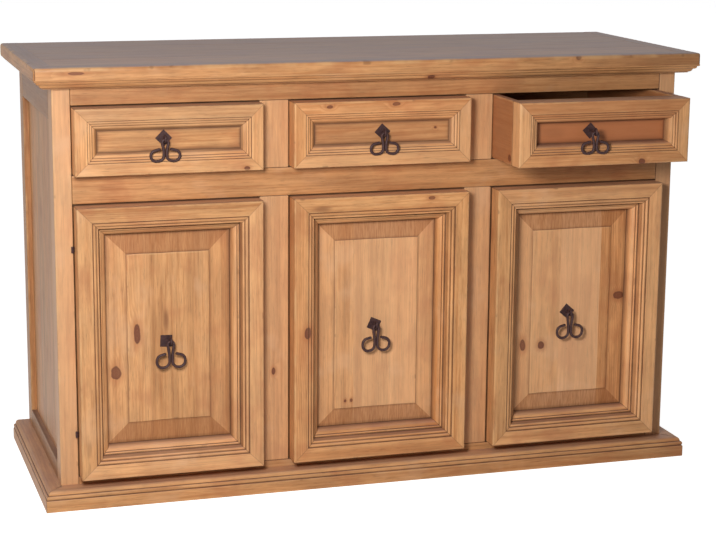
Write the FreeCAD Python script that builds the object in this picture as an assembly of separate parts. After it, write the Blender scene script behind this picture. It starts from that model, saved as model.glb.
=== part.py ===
# A rustic pine sideboard with three drawers over three doors.
# Millimetres, +Z up, front towards -Y. The origin is on the floor, in the middle of the base.
# The right drawer stands a little open, as it rests. Everything else is closed.
import FreeCAD, Part
import math
import os

os.makedirs("parts", exist_ok=True)
Vector = FreeCAD.Vector

# Carcass
carcass_width = 1368.0
carcass_depth = 502.0
post_width = 37.5
post_depth = 50.0
frame_thickness = 22.0
muntin_width = 63.0
opening_count = 3

# Heights on the front, from the floor up
plinth_height = 43.0
bottom_rail_reveal = 15.5
bottom_rail_height = 50.0
door_opening_height = 575.0
mid_rail_height = 60.0
drawer_opening_height = 140.5
top_rail_height = 56.0

# Base and top
plinth_front_projection = 44.0
plinth_side_projection = 37.0
top_thickness = 25.0
top_overhang = 40.0
top_edge_round = 4.0
top_corner_round = 5.0
plank_count = 4
cornice_height = 19.0

# Sides, back and inside
side_frame_thickness = 22.0
side_panel_recess = 12.0
side_panel_thickness = 10.0
panel_tongue = 8.0
side_top_rail_height = 89.0
side_bottom_rail_reveal = 36.0
side_bottom_rail_lift = 7.0
back_rail_thickness = 24.0
back_board_thickness = 8.0
back_board_count = 9
back_rail_height = 60.0
drawer_back_rail_height = 100.0
floor_thickness = 18.0
bearer_width = 60.0
shelf_thickness = 18.0
shelf_height = 350.0
shelf_setback = 40.0
shelf_side_clearance = 1.0
cleat_size = 20.0
bracket_width = 30.0
bracket_depth = 60.0

# Fronts, both drawers and doors
front_proud = 42.0
panel_thickness = 9.0

# Drawers
drawer_side_gap = 1.0
drawer_bottom_gap = 2.5
drawer_top_gap = 2.0
drawer_band = 25.0
drawer_moulding = 21.0
drawer_moulding_depths = (12.5, 12.5, 28.0)
drawer_steps_depth = 9.0
drawer_panel_tongue = 6.0
drawer_wall = 16.0
drawer_inner_wall = 12.0
drawer_floor_thickness = 6.0
drawer_floor_rise = 8.0
drawer_groove = 5.0
drawer_back_clearance = 0.5
open_drawer = 3
open_distance = 112.0
runner_ledge = 20.0
runner_height = 30.0
guide_height = 28.0
slide_clearance = 0.3
kicker_height = 25.0

# Doors
door_side_gap = 1.7
door_bottom_gap = 2.5
door_top_gap = 2.0
door_band = 30.0
door_moulding = 32.0
door_moulding_depth = 48.0
door_panel_tongue = 8.0
door_bevel_widths = (44.0, 38.0, 38.0)
door_bevel_rise = 3.0
door_field_step = 1.5
stop_height = 38.0
stop_thickness = 14.0
stop_overlap = 14.0
catch_edge_distance = 43.0
catch_width = 44.0
catch_height = 12.0
catch_depth = 13.0
strike_width = 28.0
strike_height = 10.0
strike_thickness = 1.5

# Pintle hinges
hinge_end_margin = 90.0
hinge_eye_radius = 3.2
hinge_eye_clearance = 0.7
hinge_pin_radius = 1.6
hinge_pin_clearance = 0.05
hinge_eye_height = 6.0
hinge_lift = 0.3
hinge_shank_width = 2.6
hinge_post_shank = 16.0
hinge_door_shank = 14.0

# Pulls
plate_size = 25.0
plate_thickness = 1.5
ring_wire_radius = 2.2
bail_slack = 1.5
bail_front_clearance = 1.0
door_ring_standoff = 19.0
shoulder_radius = 4.2
shoulder_thickness = 1.5
shank_clearance = 0.2
leg_length = 15.0
leg_width = 5.0
leg_thickness = 1.6
bail_wire_radius = 3.0
bail_clearance = 0.3
bail_half_width = 6.5
bail_stem_foot = 3.7
bail_reach = 29.8
bail_tip_rise = 5.0
bail_tip_gap = 0.6
bail_drops = {"drawer": 42.0, "door": 54.0}
bail_loop_rises = {"drawer": 18.2, "door": 23.2}
bail_bends = {"drawer": 11.0, "door": 12.5}
plate_turns = {"drawer": (45.0, 42.0, 47.0), "door": (3.0, 24.0, 40.0)}

# Places of the pulls, as shares of the front's width and height, off its middle
pull_side_shares = {"drawer": (-0.031, 0.0, -0.064), "door": (0.0, -0.014, -0.020)}
pull_rise_shares = {"drawer": (0.028, 0.01, 0.028), "door": (-0.008, 0.002, 0.0)}
# A plate's middle off its hole, as shares of its size
plate_side_shares = {"drawer": (0.0, 0.0, 0.06), "door": (-0.24, 0.04, 0.0)}
plate_rise_shares = {"drawer": (0.0, 0.0, -0.06), "door": (-0.16, -0.12, -0.04)}

# Outlines as shares. A pair is the end of a straight line. Four numbers are an arc: its middle, then its end.
# Plinth: shares of its projection and of its height, from the bottom of the outer face up.
plinth_shares = (
    (1.0, 0.0), (1.0, 0.545), (0.955, 0.59), (0.955, 0.62), (0.985, 0.70, 0.945, 0.78),
    (0.88, 0.79), (0.88, 0.83), (0.835, 0.945, 0.71, 1.0),
)
# Cornice moulding: shares of the top's overhang and of the moulding's height, from the bottom up.
cornice_shares = (
    (0.50, 0.0), (0.50, 0.08), (0.62, 0.18, 0.70, 0.43), (0.70, 0.47), (0.74, 0.47), (0.84, 0.57, 0.87, 0.75),
    (0.87, 0.79), (0.92, 0.79), (0.975, 0.87, 0.985, 1.0),
)
# Door frame moulding: shares of its width and depth, from the flat band inwards.
# From there it falls straight to the panel.
door_moulding_shares = (
    (0.0, 0.05), (0.06, 0.05), (0.15, 0.025, 0.24, 0.065), (0.25, 0.11), (0.30, 0.11),
    (0.37, 0.10, 0.43, 0.16), (0.50, 0.43), (0.55, 0.44), (0.61, 0.415, 0.65, 0.47), (0.66, 0.53),
    (0.69, 0.53), (0.82, 0.57, 0.93, 0.69),
)
# Drawer frame moulding, likewise, with shares of the depth of its steps.
drawer_moulding_shares = (
    (0.0, 0.14), (0.05, 0.14), (0.14, 0.05, 0.24, 0.18), (0.26, 0.42), (0.32, 0.42),
    (0.42, 0.46, 0.50, 0.64), (0.56, 0.64), (0.68, 0.70, 0.80, 1.0),
)

# Places worked out from the driving dimensions
base_depth = carcass_depth + plinth_front_projection
face_y = -base_depth / 2 + plinth_front_projection
back_y = face_y + carcass_depth
half_width = carcass_width / 2
post_inner_x = half_width - post_width
opening_width = (carcass_width - 2 * post_width - (opening_count - 1) * muntin_width) / opening_count
opening_pitch = opening_width + muntin_width
door_opening_bottom = plinth_height + bottom_rail_reveal
door_opening_top = door_opening_bottom + door_opening_height
drawer_opening_bottom = door_opening_top + mid_rail_height
drawer_opening_top = drawer_opening_bottom + drawer_opening_height
carcass_height = drawer_opening_top + top_rail_height
frame_back_y = face_y + frame_thickness
back_rail_y = back_y - back_board_thickness - back_rail_thickness
side_inner_x = half_width - side_frame_thickness
panel_outer_x = half_width - side_panel_recess
panel_inner_x = panel_outer_x - side_panel_thickness
drawer_bottom = drawer_opening_bottom + drawer_bottom_gap
drawer_height = drawer_opening_height - drawer_bottom_gap - drawer_top_gap
drawer_width = opening_width - 2 * drawer_side_gap
door_bottom = door_opening_bottom + door_bottom_gap
door_height = door_opening_height - door_bottom_gap - door_top_gap
door_width = opening_width - 2 * door_side_gap
door_inset = frame_thickness - slide_clearance
hinge_front_offset = hinge_eye_radius + hinge_eye_clearance
hinge_side_offset = hinge_front_offset - door_side_gap
ring_hole_radius = bail_wire_radius + bail_slack
ring_radius = ring_hole_radius + ring_wire_radius


def opening_middle(number):
    """X of the middle of an opening, counted from the left, 1 to 3."""
    return (number - (opening_count + 1) / 2) * opening_pitch


def muntin_middle(number):
    """X of the middle of a muntin, counted from the left."""
    return (number - opening_count / 2) * opening_pitch


def box(x0, x1, y0, y1, z0, z1):
    return Part.makeBox(x1 - x0, y1 - y0, z1 - z0, Vector(x0, y0, z0))


def cylinder(radius, start, end):
    direction = end - start
    return Part.makeCylinder(radius, direction.Length, start, direction)


def joined(solids):
    """One clean solid made of several that touch or overlap."""
    return solids[0].fuse(solids[1:]).removeSplitter()


def mirrored_x(shape):
    return shape.mirror(Vector(0, 0, 0), Vector(1, 0, 0))


def outline_face(start, steps, place):
    """A face inside an outline. place turns two numbers into a point. Four numbers in a step are an arc."""
    edges = []
    here = start
    for step in steps:
        end = step[-2:]
        if len(step) == 4:
            edges.append(Part.Arc(place(*here), place(*step[:2]), place(*end)).toShape())
        else:
            edges.append(Part.makeLine(place(*here), place(*end)))
        here = end
    edges.append(Part.makeLine(place(*here), place(*start)))
    return Part.Face(Part.Wire(edges))


def scaled_steps(shares, across, up, across_start=0.0, up_start=0.0):
    """Turns steps written as shares into lengths."""
    steps = []
    for step in shares:
        step_scaled = []
        for index, share in enumerate(step):
            if index % 2 == 0:
                step_scaled.append(across_start + share * across)
            else:
                step_scaled.append(up_start + share * up)
        steps.append(tuple(step_scaled))
    return steps


def plan_prism(points, z0, z1):
    """An upright prism over a plan outline."""
    corners = [Vector(x, y, z0) for x, y in points]
    wire = Part.makePolygon(corners + [corners[0]])
    return Part.Face(wire).extrude(Vector(0, 0, z1 - z0))


def edge_band(steps, z0, z1, front_projection, side_projection):
    """A moulding round the front and both ends, mitred at the front corners: front, left, right."""
    land = front_projection - side_projection
    outer_x = half_width + side_projection
    front_y = face_y - front_projection
    face = outline_face((0, z0), steps, lambda p, z: Vector(-outer_x, face_y - p, z))
    front = face.extrude(Vector(2 * outer_x, 0, 0))
    front_plan = [(-outer_x, front_y), (outer_x, front_y), (half_width, face_y - land), (half_width, face_y),
                  (-half_width, face_y), (-half_width, face_y - land)]
    front = front.common(plan_prism(front_plan, z0, z1))
    face = outline_face((0, z0), steps, lambda p, z: Vector(-half_width + land - p, front_y, z))
    side = face.extrude(Vector(0, back_y - front_y, 0))
    side_plan = [(-half_width, face_y - land), (-outer_x, front_y), (-outer_x, back_y), (-half_width, back_y)]
    side = side.common(plan_prism(side_plan, z0, z1))
    return [front, side, mirrored_x(side)]


def make_posts():
    parts = {}
    for side, sign in (("left", -1), ("right", 1)):
        x0, x1 = sorted((sign * post_inner_x, sign * half_width))
        parts["front_post_" + side] = box(x0, x1, face_y, face_y + post_depth, 0, carcass_height)
        parts["rear_post_" + side] = box(x0, x1, back_y - post_depth, back_y, 0, carcass_height)
    return parts


def make_face_frame():
    """Three rails between the front posts, and the muntins between the rails."""
    def rail(z0, z1):
        return box(-post_inner_x, post_inner_x, face_y, frame_back_y, z0, z1)

    parts = {
        "top_rail": rail(drawer_opening_top, carcass_height),
        "mid_rail": rail(door_opening_top, drawer_opening_bottom),
        "bottom_rail": rail(door_opening_bottom - bottom_rail_height, door_opening_bottom),
    }
    for name, z0, z1 in (("drawer_muntins", drawer_opening_bottom, drawer_opening_top),
                         ("door_muntins", door_opening_bottom, door_opening_top)):
        solids = []
        for number in range(1, opening_count):
            middle = muntin_middle(number)
            solids.append(box(middle - muntin_width / 2, middle + muntin_width / 2, face_y, frame_back_y, z0, z1))
        parts[name] = Part.makeCompound(solids)
    return parts


def make_side(posts, side, sign):
    """A recessed panel held in grooves of the posts and of a top and a bottom rail."""
    y0 = face_y + post_depth
    y1 = back_y - post_depth
    bottom_z = plinth_height + side_bottom_rail_reveal
    top_z = carcass_height - side_top_rail_height
    x0, x1 = sorted((sign * side_inner_x, sign * half_width))
    top_rail = box(x0, x1, y0, y1, top_z, carcass_height)
    bottom_rail = box(x0, x1, y0, y1, side_bottom_rail_lift, bottom_z)
    x0, x1 = sorted((sign * panel_inner_x, sign * panel_outer_x))
    panel = box(x0, x1, y0 - panel_tongue, y1 + panel_tongue, bottom_z - panel_tongue, top_z + panel_tongue)
    for name in ("front_post_" + side, "rear_post_" + side):
        posts[name] = posts[name].cut(panel)
    rails = [top_rail.cut(panel), bottom_rail.cut(panel)]
    return {"side_rails_" + side: Part.makeCompound(rails), "side_panel_" + side: panel}


def make_back():
    """Four rails between the rear posts, and boards nailed behind them."""
    spans = (
        (drawer_opening_top, carcass_height),
        (door_opening_top, door_opening_top + drawer_back_rail_height),
        (shelf_height - back_rail_height, shelf_height),
        (door_opening_bottom - bottom_rail_height, door_opening_bottom),
    )
    rails = []
    for z0, z1 in spans:
        rails.append(box(-post_inner_x, post_inner_x, back_rail_y, back_rail_y + back_rail_thickness, z0, z1))
    boards = []
    board_width = 2 * post_inner_x / back_board_count
    for number in range(back_board_count):
        x0 = -post_inner_x + number * board_width
        z0 = door_opening_bottom - bottom_rail_height
        boards.append(box(x0, x0 + board_width, back_y - back_board_thickness, back_y, z0, carcass_height))
    return {"back_rails": Part.makeCompound(rails), "back_boards": Part.makeCompound(boards)}


def make_inside(posts):
    """Floor, bearer, shelf, shelf cleats and the door stops."""
    floor_bottom = door_opening_bottom - floor_thickness
    floor = box(-side_inner_x, side_inner_x, frame_back_y, back_rail_y, floor_bottom, door_opening_bottom)
    for post in posts.values():
        floor = floor.cut(post)
    bearer = box(-bearer_width / 2, bearer_width / 2, frame_back_y, back_rail_y, 0, floor_bottom)
    shelf_half = side_inner_x - shelf_side_clearance
    shelf_front = frame_back_y + shelf_setback
    shelf = box(-shelf_half, shelf_half, shelf_front, back_rail_y - shelf_side_clearance,
                shelf_height, shelf_height + shelf_thickness)
    notch_y = back_y - post_depth - shelf_side_clearance
    notch_x = post_inner_x - shelf_side_clearance
    front_notch_y = face_y + post_depth + shelf_side_clearance
    for x0, x1 in ((-half_width, -notch_x), (notch_x, half_width)):
        shelf = shelf.cut(box(x0, x1, notch_y, back_y, 0, carcass_height))
        shelf = shelf.cut(box(x0, x1, face_y, front_notch_y, 0, carcass_height))
    z0 = shelf_height - cleat_size
    y0 = face_y + post_depth
    y1 = min(back_rail_y - cleat_size, back_y - post_depth)
    cleats = [
        box(-side_inner_x, -side_inner_x + cleat_size, y0, y1, z0, shelf_height),
        box(side_inner_x - cleat_size, side_inner_x, y0, y1, z0, shelf_height),
        box(-post_inner_x, post_inner_x, back_rail_y - cleat_size, back_rail_y, z0, shelf_height),
    ]
    for number in range(1, opening_count):
        middle = muntin_middle(number)
        cleats.append(box(middle - bracket_width / 2, middle + bracket_width / 2,
                          frame_back_y, frame_back_y + bracket_depth, z0, shelf_height))
    stop_bottom = door_opening_top - stop_overlap
    stop = box(-post_inner_x, post_inner_x, frame_back_y, frame_back_y + stop_thickness,
               stop_bottom, stop_bottom + stop_height)
    for post in posts.values():
        stop = stop.cut(post)
    catches = []
    catch_y = face_y + door_inset + strike_thickness + slide_clearance
    for number in range(1, opening_count + 1):
        middle = catch_middle(number)
        catches.append(box(middle - catch_width / 2, middle + catch_width / 2, catch_y, catch_y + catch_depth,
                           stop_bottom - catch_height, stop_bottom))
    return {
        "cabinet_floor": floor,
        "floor_bearer": bearer,
        "shelf": shelf,
        "shelf_cleats": Part.makeCompound(cleats),
        "door_stop": stop,
        "door_catches": Part.makeCompound(catches),
    }


def make_runners():
    """Runners with guide fins under the drawer sides, and kickers over them."""
    runner_top = drawer_bottom - slide_clearance
    kicker_bottom = drawer_opening_top
    runners = []
    kickers = []
    for number in range(1, opening_count):
        middle = muntin_middle(number)
        half = muntin_width / 2
        ledge = half + runner_ledge
        runner = box(middle - ledge, middle + ledge, frame_back_y, back_rail_y,
                     runner_top - runner_height, runner_top)
        fin = box(middle - half, middle + half, frame_back_y, back_rail_y,
                  runner_top, runner_top + guide_height)
        runners.append(joined([runner, fin]))
        kickers.append(box(middle - ledge, middle + ledge, frame_back_y, back_rail_y,
                           kicker_bottom, kicker_bottom + kicker_height))
    ledge_x = -post_inner_x + runner_ledge
    y0 = face_y + post_depth
    y1 = back_y - post_depth
    runner = box(-post_inner_x, ledge_x, frame_back_y, back_rail_y, runner_top - runner_height, runner_top)
    fin = box(-side_inner_x, -post_inner_x, y0, y1, runner_top - runner_height, runner_top + guide_height)
    end_runner = joined([runner, fin])
    kicker = box(-post_inner_x, ledge_x, frame_back_y, back_rail_y,
                 kicker_bottom, kicker_bottom + kicker_height)
    fin = box(-side_inner_x, -post_inner_x, y0, y1, kicker_bottom, kicker_bottom + kicker_height)
    end_kicker = joined([kicker, fin])
    runners += [end_runner, mirrored_x(end_runner)]
    kickers += [end_kicker, mirrored_x(end_kicker)]
    return {"drawer_runners": Part.makeCompound(runners), "drawer_kickers": Part.makeCompound(kickers)}


def make_top():
    """Planks along the width, a border on the front and both ends, and the moulding under it."""
    z0 = carcass_height
    z1 = z0 + top_thickness
    plank_depth = carcass_depth / plank_count
    planks = []
    for number in range(plank_count):
        y0 = face_y + number * plank_depth
        planks.append(box(-half_width, half_width, y0, y0 + plank_depth, z0, z1))
    edge = top_overhang
    bend = top_edge_round * (1 - math.sqrt(0.5))
    steps = [
        (edge, z0),
        (edge, z1 - top_edge_round),
        (edge - bend, z1 - bend, edge - top_edge_round, z1),
        (0, z1),
    ]
    corners = corner_rounding()
    border = edge_band(steps, z0, z1, top_overhang, top_overhang)
    border = [piece.common(corners) for piece in border]
    moulding_steps = scaled_steps(cornice_shares, top_overhang, cornice_height, 0, z0 - cornice_height)
    moulding_steps.append((0, z0))
    cornice = edge_band(moulding_steps, z0 - cornice_height, z0, top_overhang, top_overhang)
    cornice = [piece.common(corners) for piece in cornice]
    return {
        "top_planks": Part.makeCompound(planks),
        "top_border": Part.makeCompound(border),
        "cornice": Part.makeCompound(cornice),
    }


def corner_rounding():
    """The plan of the top with its two front corners rounded, as an upright prism with the cornice in it."""
    x1 = half_width + top_overhang
    y0 = face_y - top_overhang
    radius = top_corner_round
    block = box(-x1, x1, y0, back_y, carcass_height - cornice_height, carcass_height + top_thickness)
    edges = []
    for edge in block.Edges:
        middle = edge.CenterOfMass
        if abs(middle.y - y0) < radius and abs(abs(middle.x) - x1) < radius:
            edges.append(edge)
    return block.makeFillet(radius, edges)


def make_plinth():
    steps = scaled_steps(plinth_shares, plinth_front_projection, plinth_height)
    steps.append((0, plinth_height))
    pieces = edge_band(steps, 0, plinth_height, plinth_front_projection, plinth_side_projection)
    return {"plinth": Part.makeCompound(pieces)}


def mitred_frame(x_middle, z0, front_y, width, height, band, moulding, steps_depth, depth, shares,
                 thickness, tongue):
    """Four mitred members round a panel: left, right, bottom, top.
    Each has a flat band, a moulding that falls to the panel, and a groove for it."""
    inner = band + moulding
    groove_depth = depth + panel_thickness
    steps = [(band, 0)]
    steps += scaled_steps(shares, moulding, steps_depth, band, 0)
    steps += [
        (inner, depth),
        (inner - tongue, depth),
        (inner - tongue, groove_depth),
        (inner, groove_depth),
        (inner, thickness),
        (0, thickness),
    ]
    x0 = x_middle - width / 2
    x1 = x_middle + width / 2
    z1 = z0 + height
    upright_face = outline_face((0, 0), steps, lambda u, d: Vector(x0 + u, front_y + d, z0))
    upright = upright_face.extrude(Vector(0, 0, height))
    level_face = outline_face((0, 0), steps, lambda u, d: Vector(x0, front_y + d, z0 + u))
    level = level_face.extrude(Vector(width, 0, 0))

    def mitre(points):
        corners = [Vector(x, front_y, z) for x, z in points]
        return Part.Face(Part.makePolygon(corners + [corners[0]])).extrude(Vector(0, thickness, 0))

    left = upright.common(mitre([(x0, z0), (x0 + inner, z0 + inner), (x0 + inner, z1 - inner), (x0, z1)]))
    bottom = level.common(mitre([(x0, z0), (x1, z0), (x1 - inner, z0 + inner), (x0 + inner, z0 + inner)]))
    right = left.mirror(Vector(x_middle, 0, 0), Vector(1, 0, 0))
    top = bottom.mirror(Vector(0, 0, z0 + height / 2), Vector(0, 0, 1))
    return [left, right, bottom, top]


def pull_place(kind, number, x_middle, z0, width, height):
    """Middle of a pull's ring."""
    x = x_middle + pull_side_shares[kind][number - 1] * width
    z = z0 + height / 2 + pull_rise_shares[kind][number - 1] * height
    return x, z


def make_pull(kind, number, x, z, panel_front, ring_y):
    """A back plate and a ring staple that holds a free bail. x, ring_y and z are the middle of the ring."""
    panel_back = panel_front + (panel_thickness if kind == "drawer" else door_field_thickness())
    plate_front = panel_front - plate_thickness
    half = plate_size / 2
    plate_x = x + plate_side_shares[kind][number - 1] * plate_size
    plate_z = z + plate_rise_shares[kind][number - 1] * plate_size
    plate = box(plate_x - half, plate_x + half, plate_front, panel_front, plate_z - half, plate_z + half)
    plate = plate.rotate(Vector(plate_x, 0, plate_z), Vector(0, 1, 0), plate_turns[kind][number - 1])
    ring = Part.makeTorus(ring_radius, ring_wire_radius, Vector(x, ring_y, z), Vector(1, 0, 0))
    shank_start = Vector(x, ring_y + ring_radius, z)
    shank_end = Vector(x, panel_back + leg_thickness, z)
    shank = cylinder(ring_wire_radius, shank_start, shank_end)
    shoulder = cylinder(shoulder_radius, Vector(x, plate_front - shoulder_thickness, z),
                        Vector(x, plate_front, z))
    legs = box(x - leg_length, x + leg_length, panel_back, panel_back + leg_thickness,
               z - leg_width / 2, z + leg_width / 2)
    staple = joined([ring, shank, shoulder, legs])
    hole = cylinder(ring_wire_radius + shank_clearance, Vector(x, plate_front, z), shank_end)
    iron = Part.makeCompound([plate.cut(hole), staple])
    axis_z = z - ring_hole_radius + bail_wire_radius + bail_clearance
    bail = make_bail(kind).translate(Vector(x, ring_y, axis_z))
    return iron, hole, bail


def door_field_thickness():
    """Thickness of a door's panel at its raised field."""
    return panel_thickness + door_bevel_rise + door_field_step


def rounded_path(points, bend):
    """Straight runs joined by tangent arcs, as one wire."""
    edges = []
    here = points[0]
    for before, corner, after in zip(points, points[1:], points[2:]):
        into = (corner - before).normalize()
        out = (after - corner).normalize()
        turn = math.acos(max(-1.0, min(1.0, into.dot(out))))
        setback = bend * math.tan(turn / 2)
        start = corner - into * setback
        end = corner + out * setback
        inward = (out - into).normalize()
        middle = corner + inward * (bend / math.cos(turn / 2) - bend)
        edges.append(Part.makeLine(here, start))
        edges.append(Part.Arc(start, middle, end).toShape())
        here = end
    edges.append(Part.makeLine(here, points[-1]))
    return edges


def make_bail(kind):
    """A wire bent over the ring, with a curled loop at each foot. It swings about X at the origin."""
    drop = bail_drops[kind]
    loop_top = bail_loop_rises[kind] - drop
    half = bail_half_width
    tip_x = bail_stem_foot + 2 * bail_wire_radius + bail_tip_gap
    tip_z = loop_top + bail_tip_rise
    tip_x += (half - bail_stem_foot) * (drop + tip_z) / drop
    right = [
        Vector(half, 0, -half),
        Vector(bail_stem_foot, 0, -drop),
        Vector(bail_reach, 0, -drop - bail_wire_radius),
        Vector(bail_reach, 0, loop_top),
        Vector(tip_x, 0, tip_z),
    ]
    runs = rounded_path(right, bail_bends[kind])
    left = [edge.mirror(Vector(0, 0, 0), Vector(1, 0, 0)) for edge in runs]
    hairpin = Part.Arc(Vector(-half, 0, -half), Vector(0, 0, 0), Vector(half, 0, -half)).toShape()
    path = Part.Wire(Part.__sortEdges__(left + [hairpin] + runs))
    start = right[-1]
    direction = (right[-2] - right[-1]).normalize()
    ring = Part.makeCircle(bail_wire_radius, start, direction)
    return path.makePipeShell([Part.Wire(ring)], True, False)


def drawer_shift(number):
    """How far a drawer stands open at rest."""
    return open_distance if number == open_drawer else 0


def make_drawer(number):
    name = "drawer_" + str(number)
    x = opening_middle(number)
    front_y = face_y - front_proud
    member = drawer_band + drawer_moulding
    depth = drawer_moulding_depths[number - 1]
    frame = mitred_frame(x, drawer_bottom, front_y, drawer_width, drawer_height, drawer_band, drawer_moulding,
                         drawer_steps_depth, depth, drawer_moulding_shares, front_proud, drawer_panel_tongue)
    panel_front = front_y + depth
    edge = member - drawer_panel_tongue
    top_z = drawer_bottom + drawer_height
    x0 = x - drawer_width / 2
    x1 = x + drawer_width / 2
    panel = box(x0 + edge, x1 - edge, panel_front, panel_front + panel_thickness,
                drawer_bottom + edge, top_z - edge)
    pull_x, pull_z = pull_place("drawer", number, x, drawer_bottom, drawer_width, drawer_height)
    ring_y = front_y - bail_wire_radius - bail_front_clearance
    iron, hole, bail = make_pull("drawer", number, pull_x, pull_z, panel_front, ring_y)
    box_back = back_rail_y - drawer_back_clearance
    left = box(x0, x0 + drawer_wall, face_y, box_back, drawer_bottom, top_z)
    right = box(x1 - drawer_wall, x1, face_y, box_back, drawer_bottom, top_z)
    inner = box(x0 + drawer_wall, x1 - drawer_wall, face_y, face_y + drawer_inner_wall, drawer_bottom, top_z)
    rear = box(x0 + drawer_wall, x1 - drawer_wall, box_back - drawer_wall, box_back, drawer_bottom, top_z)
    floor_z = drawer_bottom + drawer_floor_rise
    reach = drawer_wall - drawer_groove
    floor = box(x0 + reach, x1 - reach, face_y + drawer_inner_wall - drawer_groove,
                box_back - drawer_wall + drawer_groove, floor_z, floor_z + drawer_floor_thickness)
    walls = [piece.cut(floor) for piece in (left, right, inner, rear)]
    parts = {
        name + "_frame": Part.makeCompound(frame),
        name + "_panel": panel.cut(hole),
        name + "_box": Part.makeCompound(walls + [floor]),
        name + "_staple": iron,
        name + "_bail": bail,
    }
    shift = Vector(0, -drawer_shift(number), 0)
    return {key: shape.translate(shift) for key, shape in parts.items()}


def hinge_side(number):
    """-1 where a door hangs on its left, 1 on its right. Only the left door hangs on its left."""
    return -1 if number == 1 else 1


def catch_middle(number):
    """X of a door's catch, near its free edge."""
    return opening_middle(number) - hinge_side(number) * (door_width / 2 - catch_edge_distance)


def hinge_heights():
    """Bottoms of the fixed eyes of a door."""
    low = door_bottom + hinge_end_margin
    high = door_bottom + door_height - hinge_end_margin
    return (low - hinge_eye_height, high - hinge_eye_height)


def hinge_pieces(number, z):
    """The eye on the carcass and the pin on the door, one hinge. The pin turns in the eye."""
    side = hinge_side(number)
    edge_x = opening_middle(number) + side * opening_width / 2
    pin_x = edge_x + side * hinge_side_offset
    pin_y = face_y - hinge_front_offset
    half = hinge_shank_width / 2
    eye_top = z + hinge_eye_height
    arm_bottom = eye_top + hinge_lift
    arm_top = arm_bottom + hinge_eye_height
    eye = cylinder(hinge_eye_radius, Vector(pin_x, pin_y, z), Vector(pin_x, pin_y, eye_top))
    middle = (z + eye_top) / 2
    tail = box(pin_x - half, pin_x + half, pin_y, face_y + hinge_post_shank, middle - half, middle + half)
    bore = cylinder(hinge_pin_radius + hinge_pin_clearance, Vector(pin_x, pin_y, z - hinge_lift),
                    Vector(pin_x, pin_y, arm_bottom))
    fixed = joined([eye, tail]).cut(bore)
    pin = cylinder(hinge_pin_radius, Vector(pin_x, pin_y, z), Vector(pin_x, pin_y, arm_top))
    arm = cylinder(hinge_eye_radius, Vector(pin_x, pin_y, arm_bottom), Vector(pin_x, pin_y, arm_top))
    door_edge = edge_x - side * door_side_gap
    x0, x1 = sorted((pin_x, door_edge - side * hinge_door_shank))
    middle = (arm_bottom + arm_top) / 2
    shank = box(x0, x1, pin_y - half, pin_y + half, middle - half, middle + half)
    return fixed, tail, joined([pin, arm, shank]), shank


def make_door(number, carcass):
    name = "door_" + str(number)
    x = opening_middle(number)
    front_y = face_y - front_proud
    member = door_band + door_moulding
    thickness = front_proud + door_inset
    frame = mitred_frame(x, door_bottom, front_y, door_width, door_height, door_band, door_moulding,
                         door_moulding_depth, door_moulding_depth, door_moulding_shares, thickness, door_panel_tongue)
    border_front = front_y + door_moulding_depth
    panel_back = border_front + panel_thickness
    edge = member - door_panel_tongue
    top_z = door_bottom + door_height
    half = door_width / 2
    tongue = box(x - half + edge, x + half - edge, border_front, panel_back, door_bottom + edge, top_z - edge)
    field_edge = member + door_bevel_widths[number - 1]
    rise_y = border_front - door_bevel_rise
    field_y = rise_y - door_field_step
    slope = Part.makeLoft([rectangle(x, half - member, door_bottom + member, top_z - member, border_front),
                           rectangle(x, half - field_edge, door_bottom + field_edge, top_z - field_edge, rise_y)],
                          True, True)
    field = box(x - half + field_edge, x + half - field_edge, field_y, rise_y,
                door_bottom + field_edge, top_z - field_edge)
    panel = joined([tongue, slope, field])
    pull_x, pull_z = pull_place("door", number, x, door_bottom, door_width, door_height)
    iron, hole, bail = make_pull("door", number, pull_x, pull_z, field_y, field_y - door_ring_standoff)
    stile = 0 if hinge_side(number) < 0 else 1
    pins = []
    for z in hinge_heights():
        fixed, tail, pin, shank = hinge_pieces(number, z)
        carcass["hinge_eyes"].append(fixed)
        for key, shape in carcass["hinge_posts"].items():
            carcass["hinge_posts"][key] = shape.cut(tail)
        frame[stile] = frame[stile].cut(shank)
        pins.append(pin)
    door_back = face_y + door_inset
    strike_z = door_opening_top - stop_overlap - catch_height / 2
    middle = catch_middle(number)
    pins.append(box(middle - strike_width / 2, middle + strike_width / 2, door_back, door_back + strike_thickness,
                    strike_z - strike_height / 2, strike_z + strike_height / 2))
    return {
        name + "_frame": Part.makeCompound(frame),
        name + "_panel": panel.cut(hole),
        name + "_fittings": Part.makeCompound(pins),
        name + "_staple": iron,
        name + "_bail": bail,
    }


def rectangle(x, half, z0, z1, y):
    corners = [Vector(x - half, y, z0), Vector(x + half, y, z0), Vector(x + half, y, z1), Vector(x - half, y, z1)]
    return Part.makePolygon(corners + [corners[0]])


def make_all():
    posts = make_posts()
    parts = {}
    parts.update(make_inside(posts))
    for side, sign in (("left", -1), ("right", 1)):
        parts.update(make_side(posts, side, sign))
    frame = make_face_frame()
    carcass = {
        "hinge_eyes": [],
        "hinge_posts": {
            "front_post_left": posts["front_post_left"],
            "front_post_right": posts["front_post_right"],
            "door_muntins": frame["door_muntins"],
        },
    }
    for number in range(1, opening_count + 1):
        parts.update(make_drawer(number))
        parts.update(make_door(number, carcass))
    parts.update(posts)
    parts.update(frame)
    parts.update(carcass["hinge_posts"])
    parts["hinge_eyes"] = Part.makeCompound(carcass["hinge_eyes"])
    parts.update(make_back())
    parts.update(make_runners())
    parts.update(make_top())
    parts.update(make_plinth())
    return parts


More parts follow.
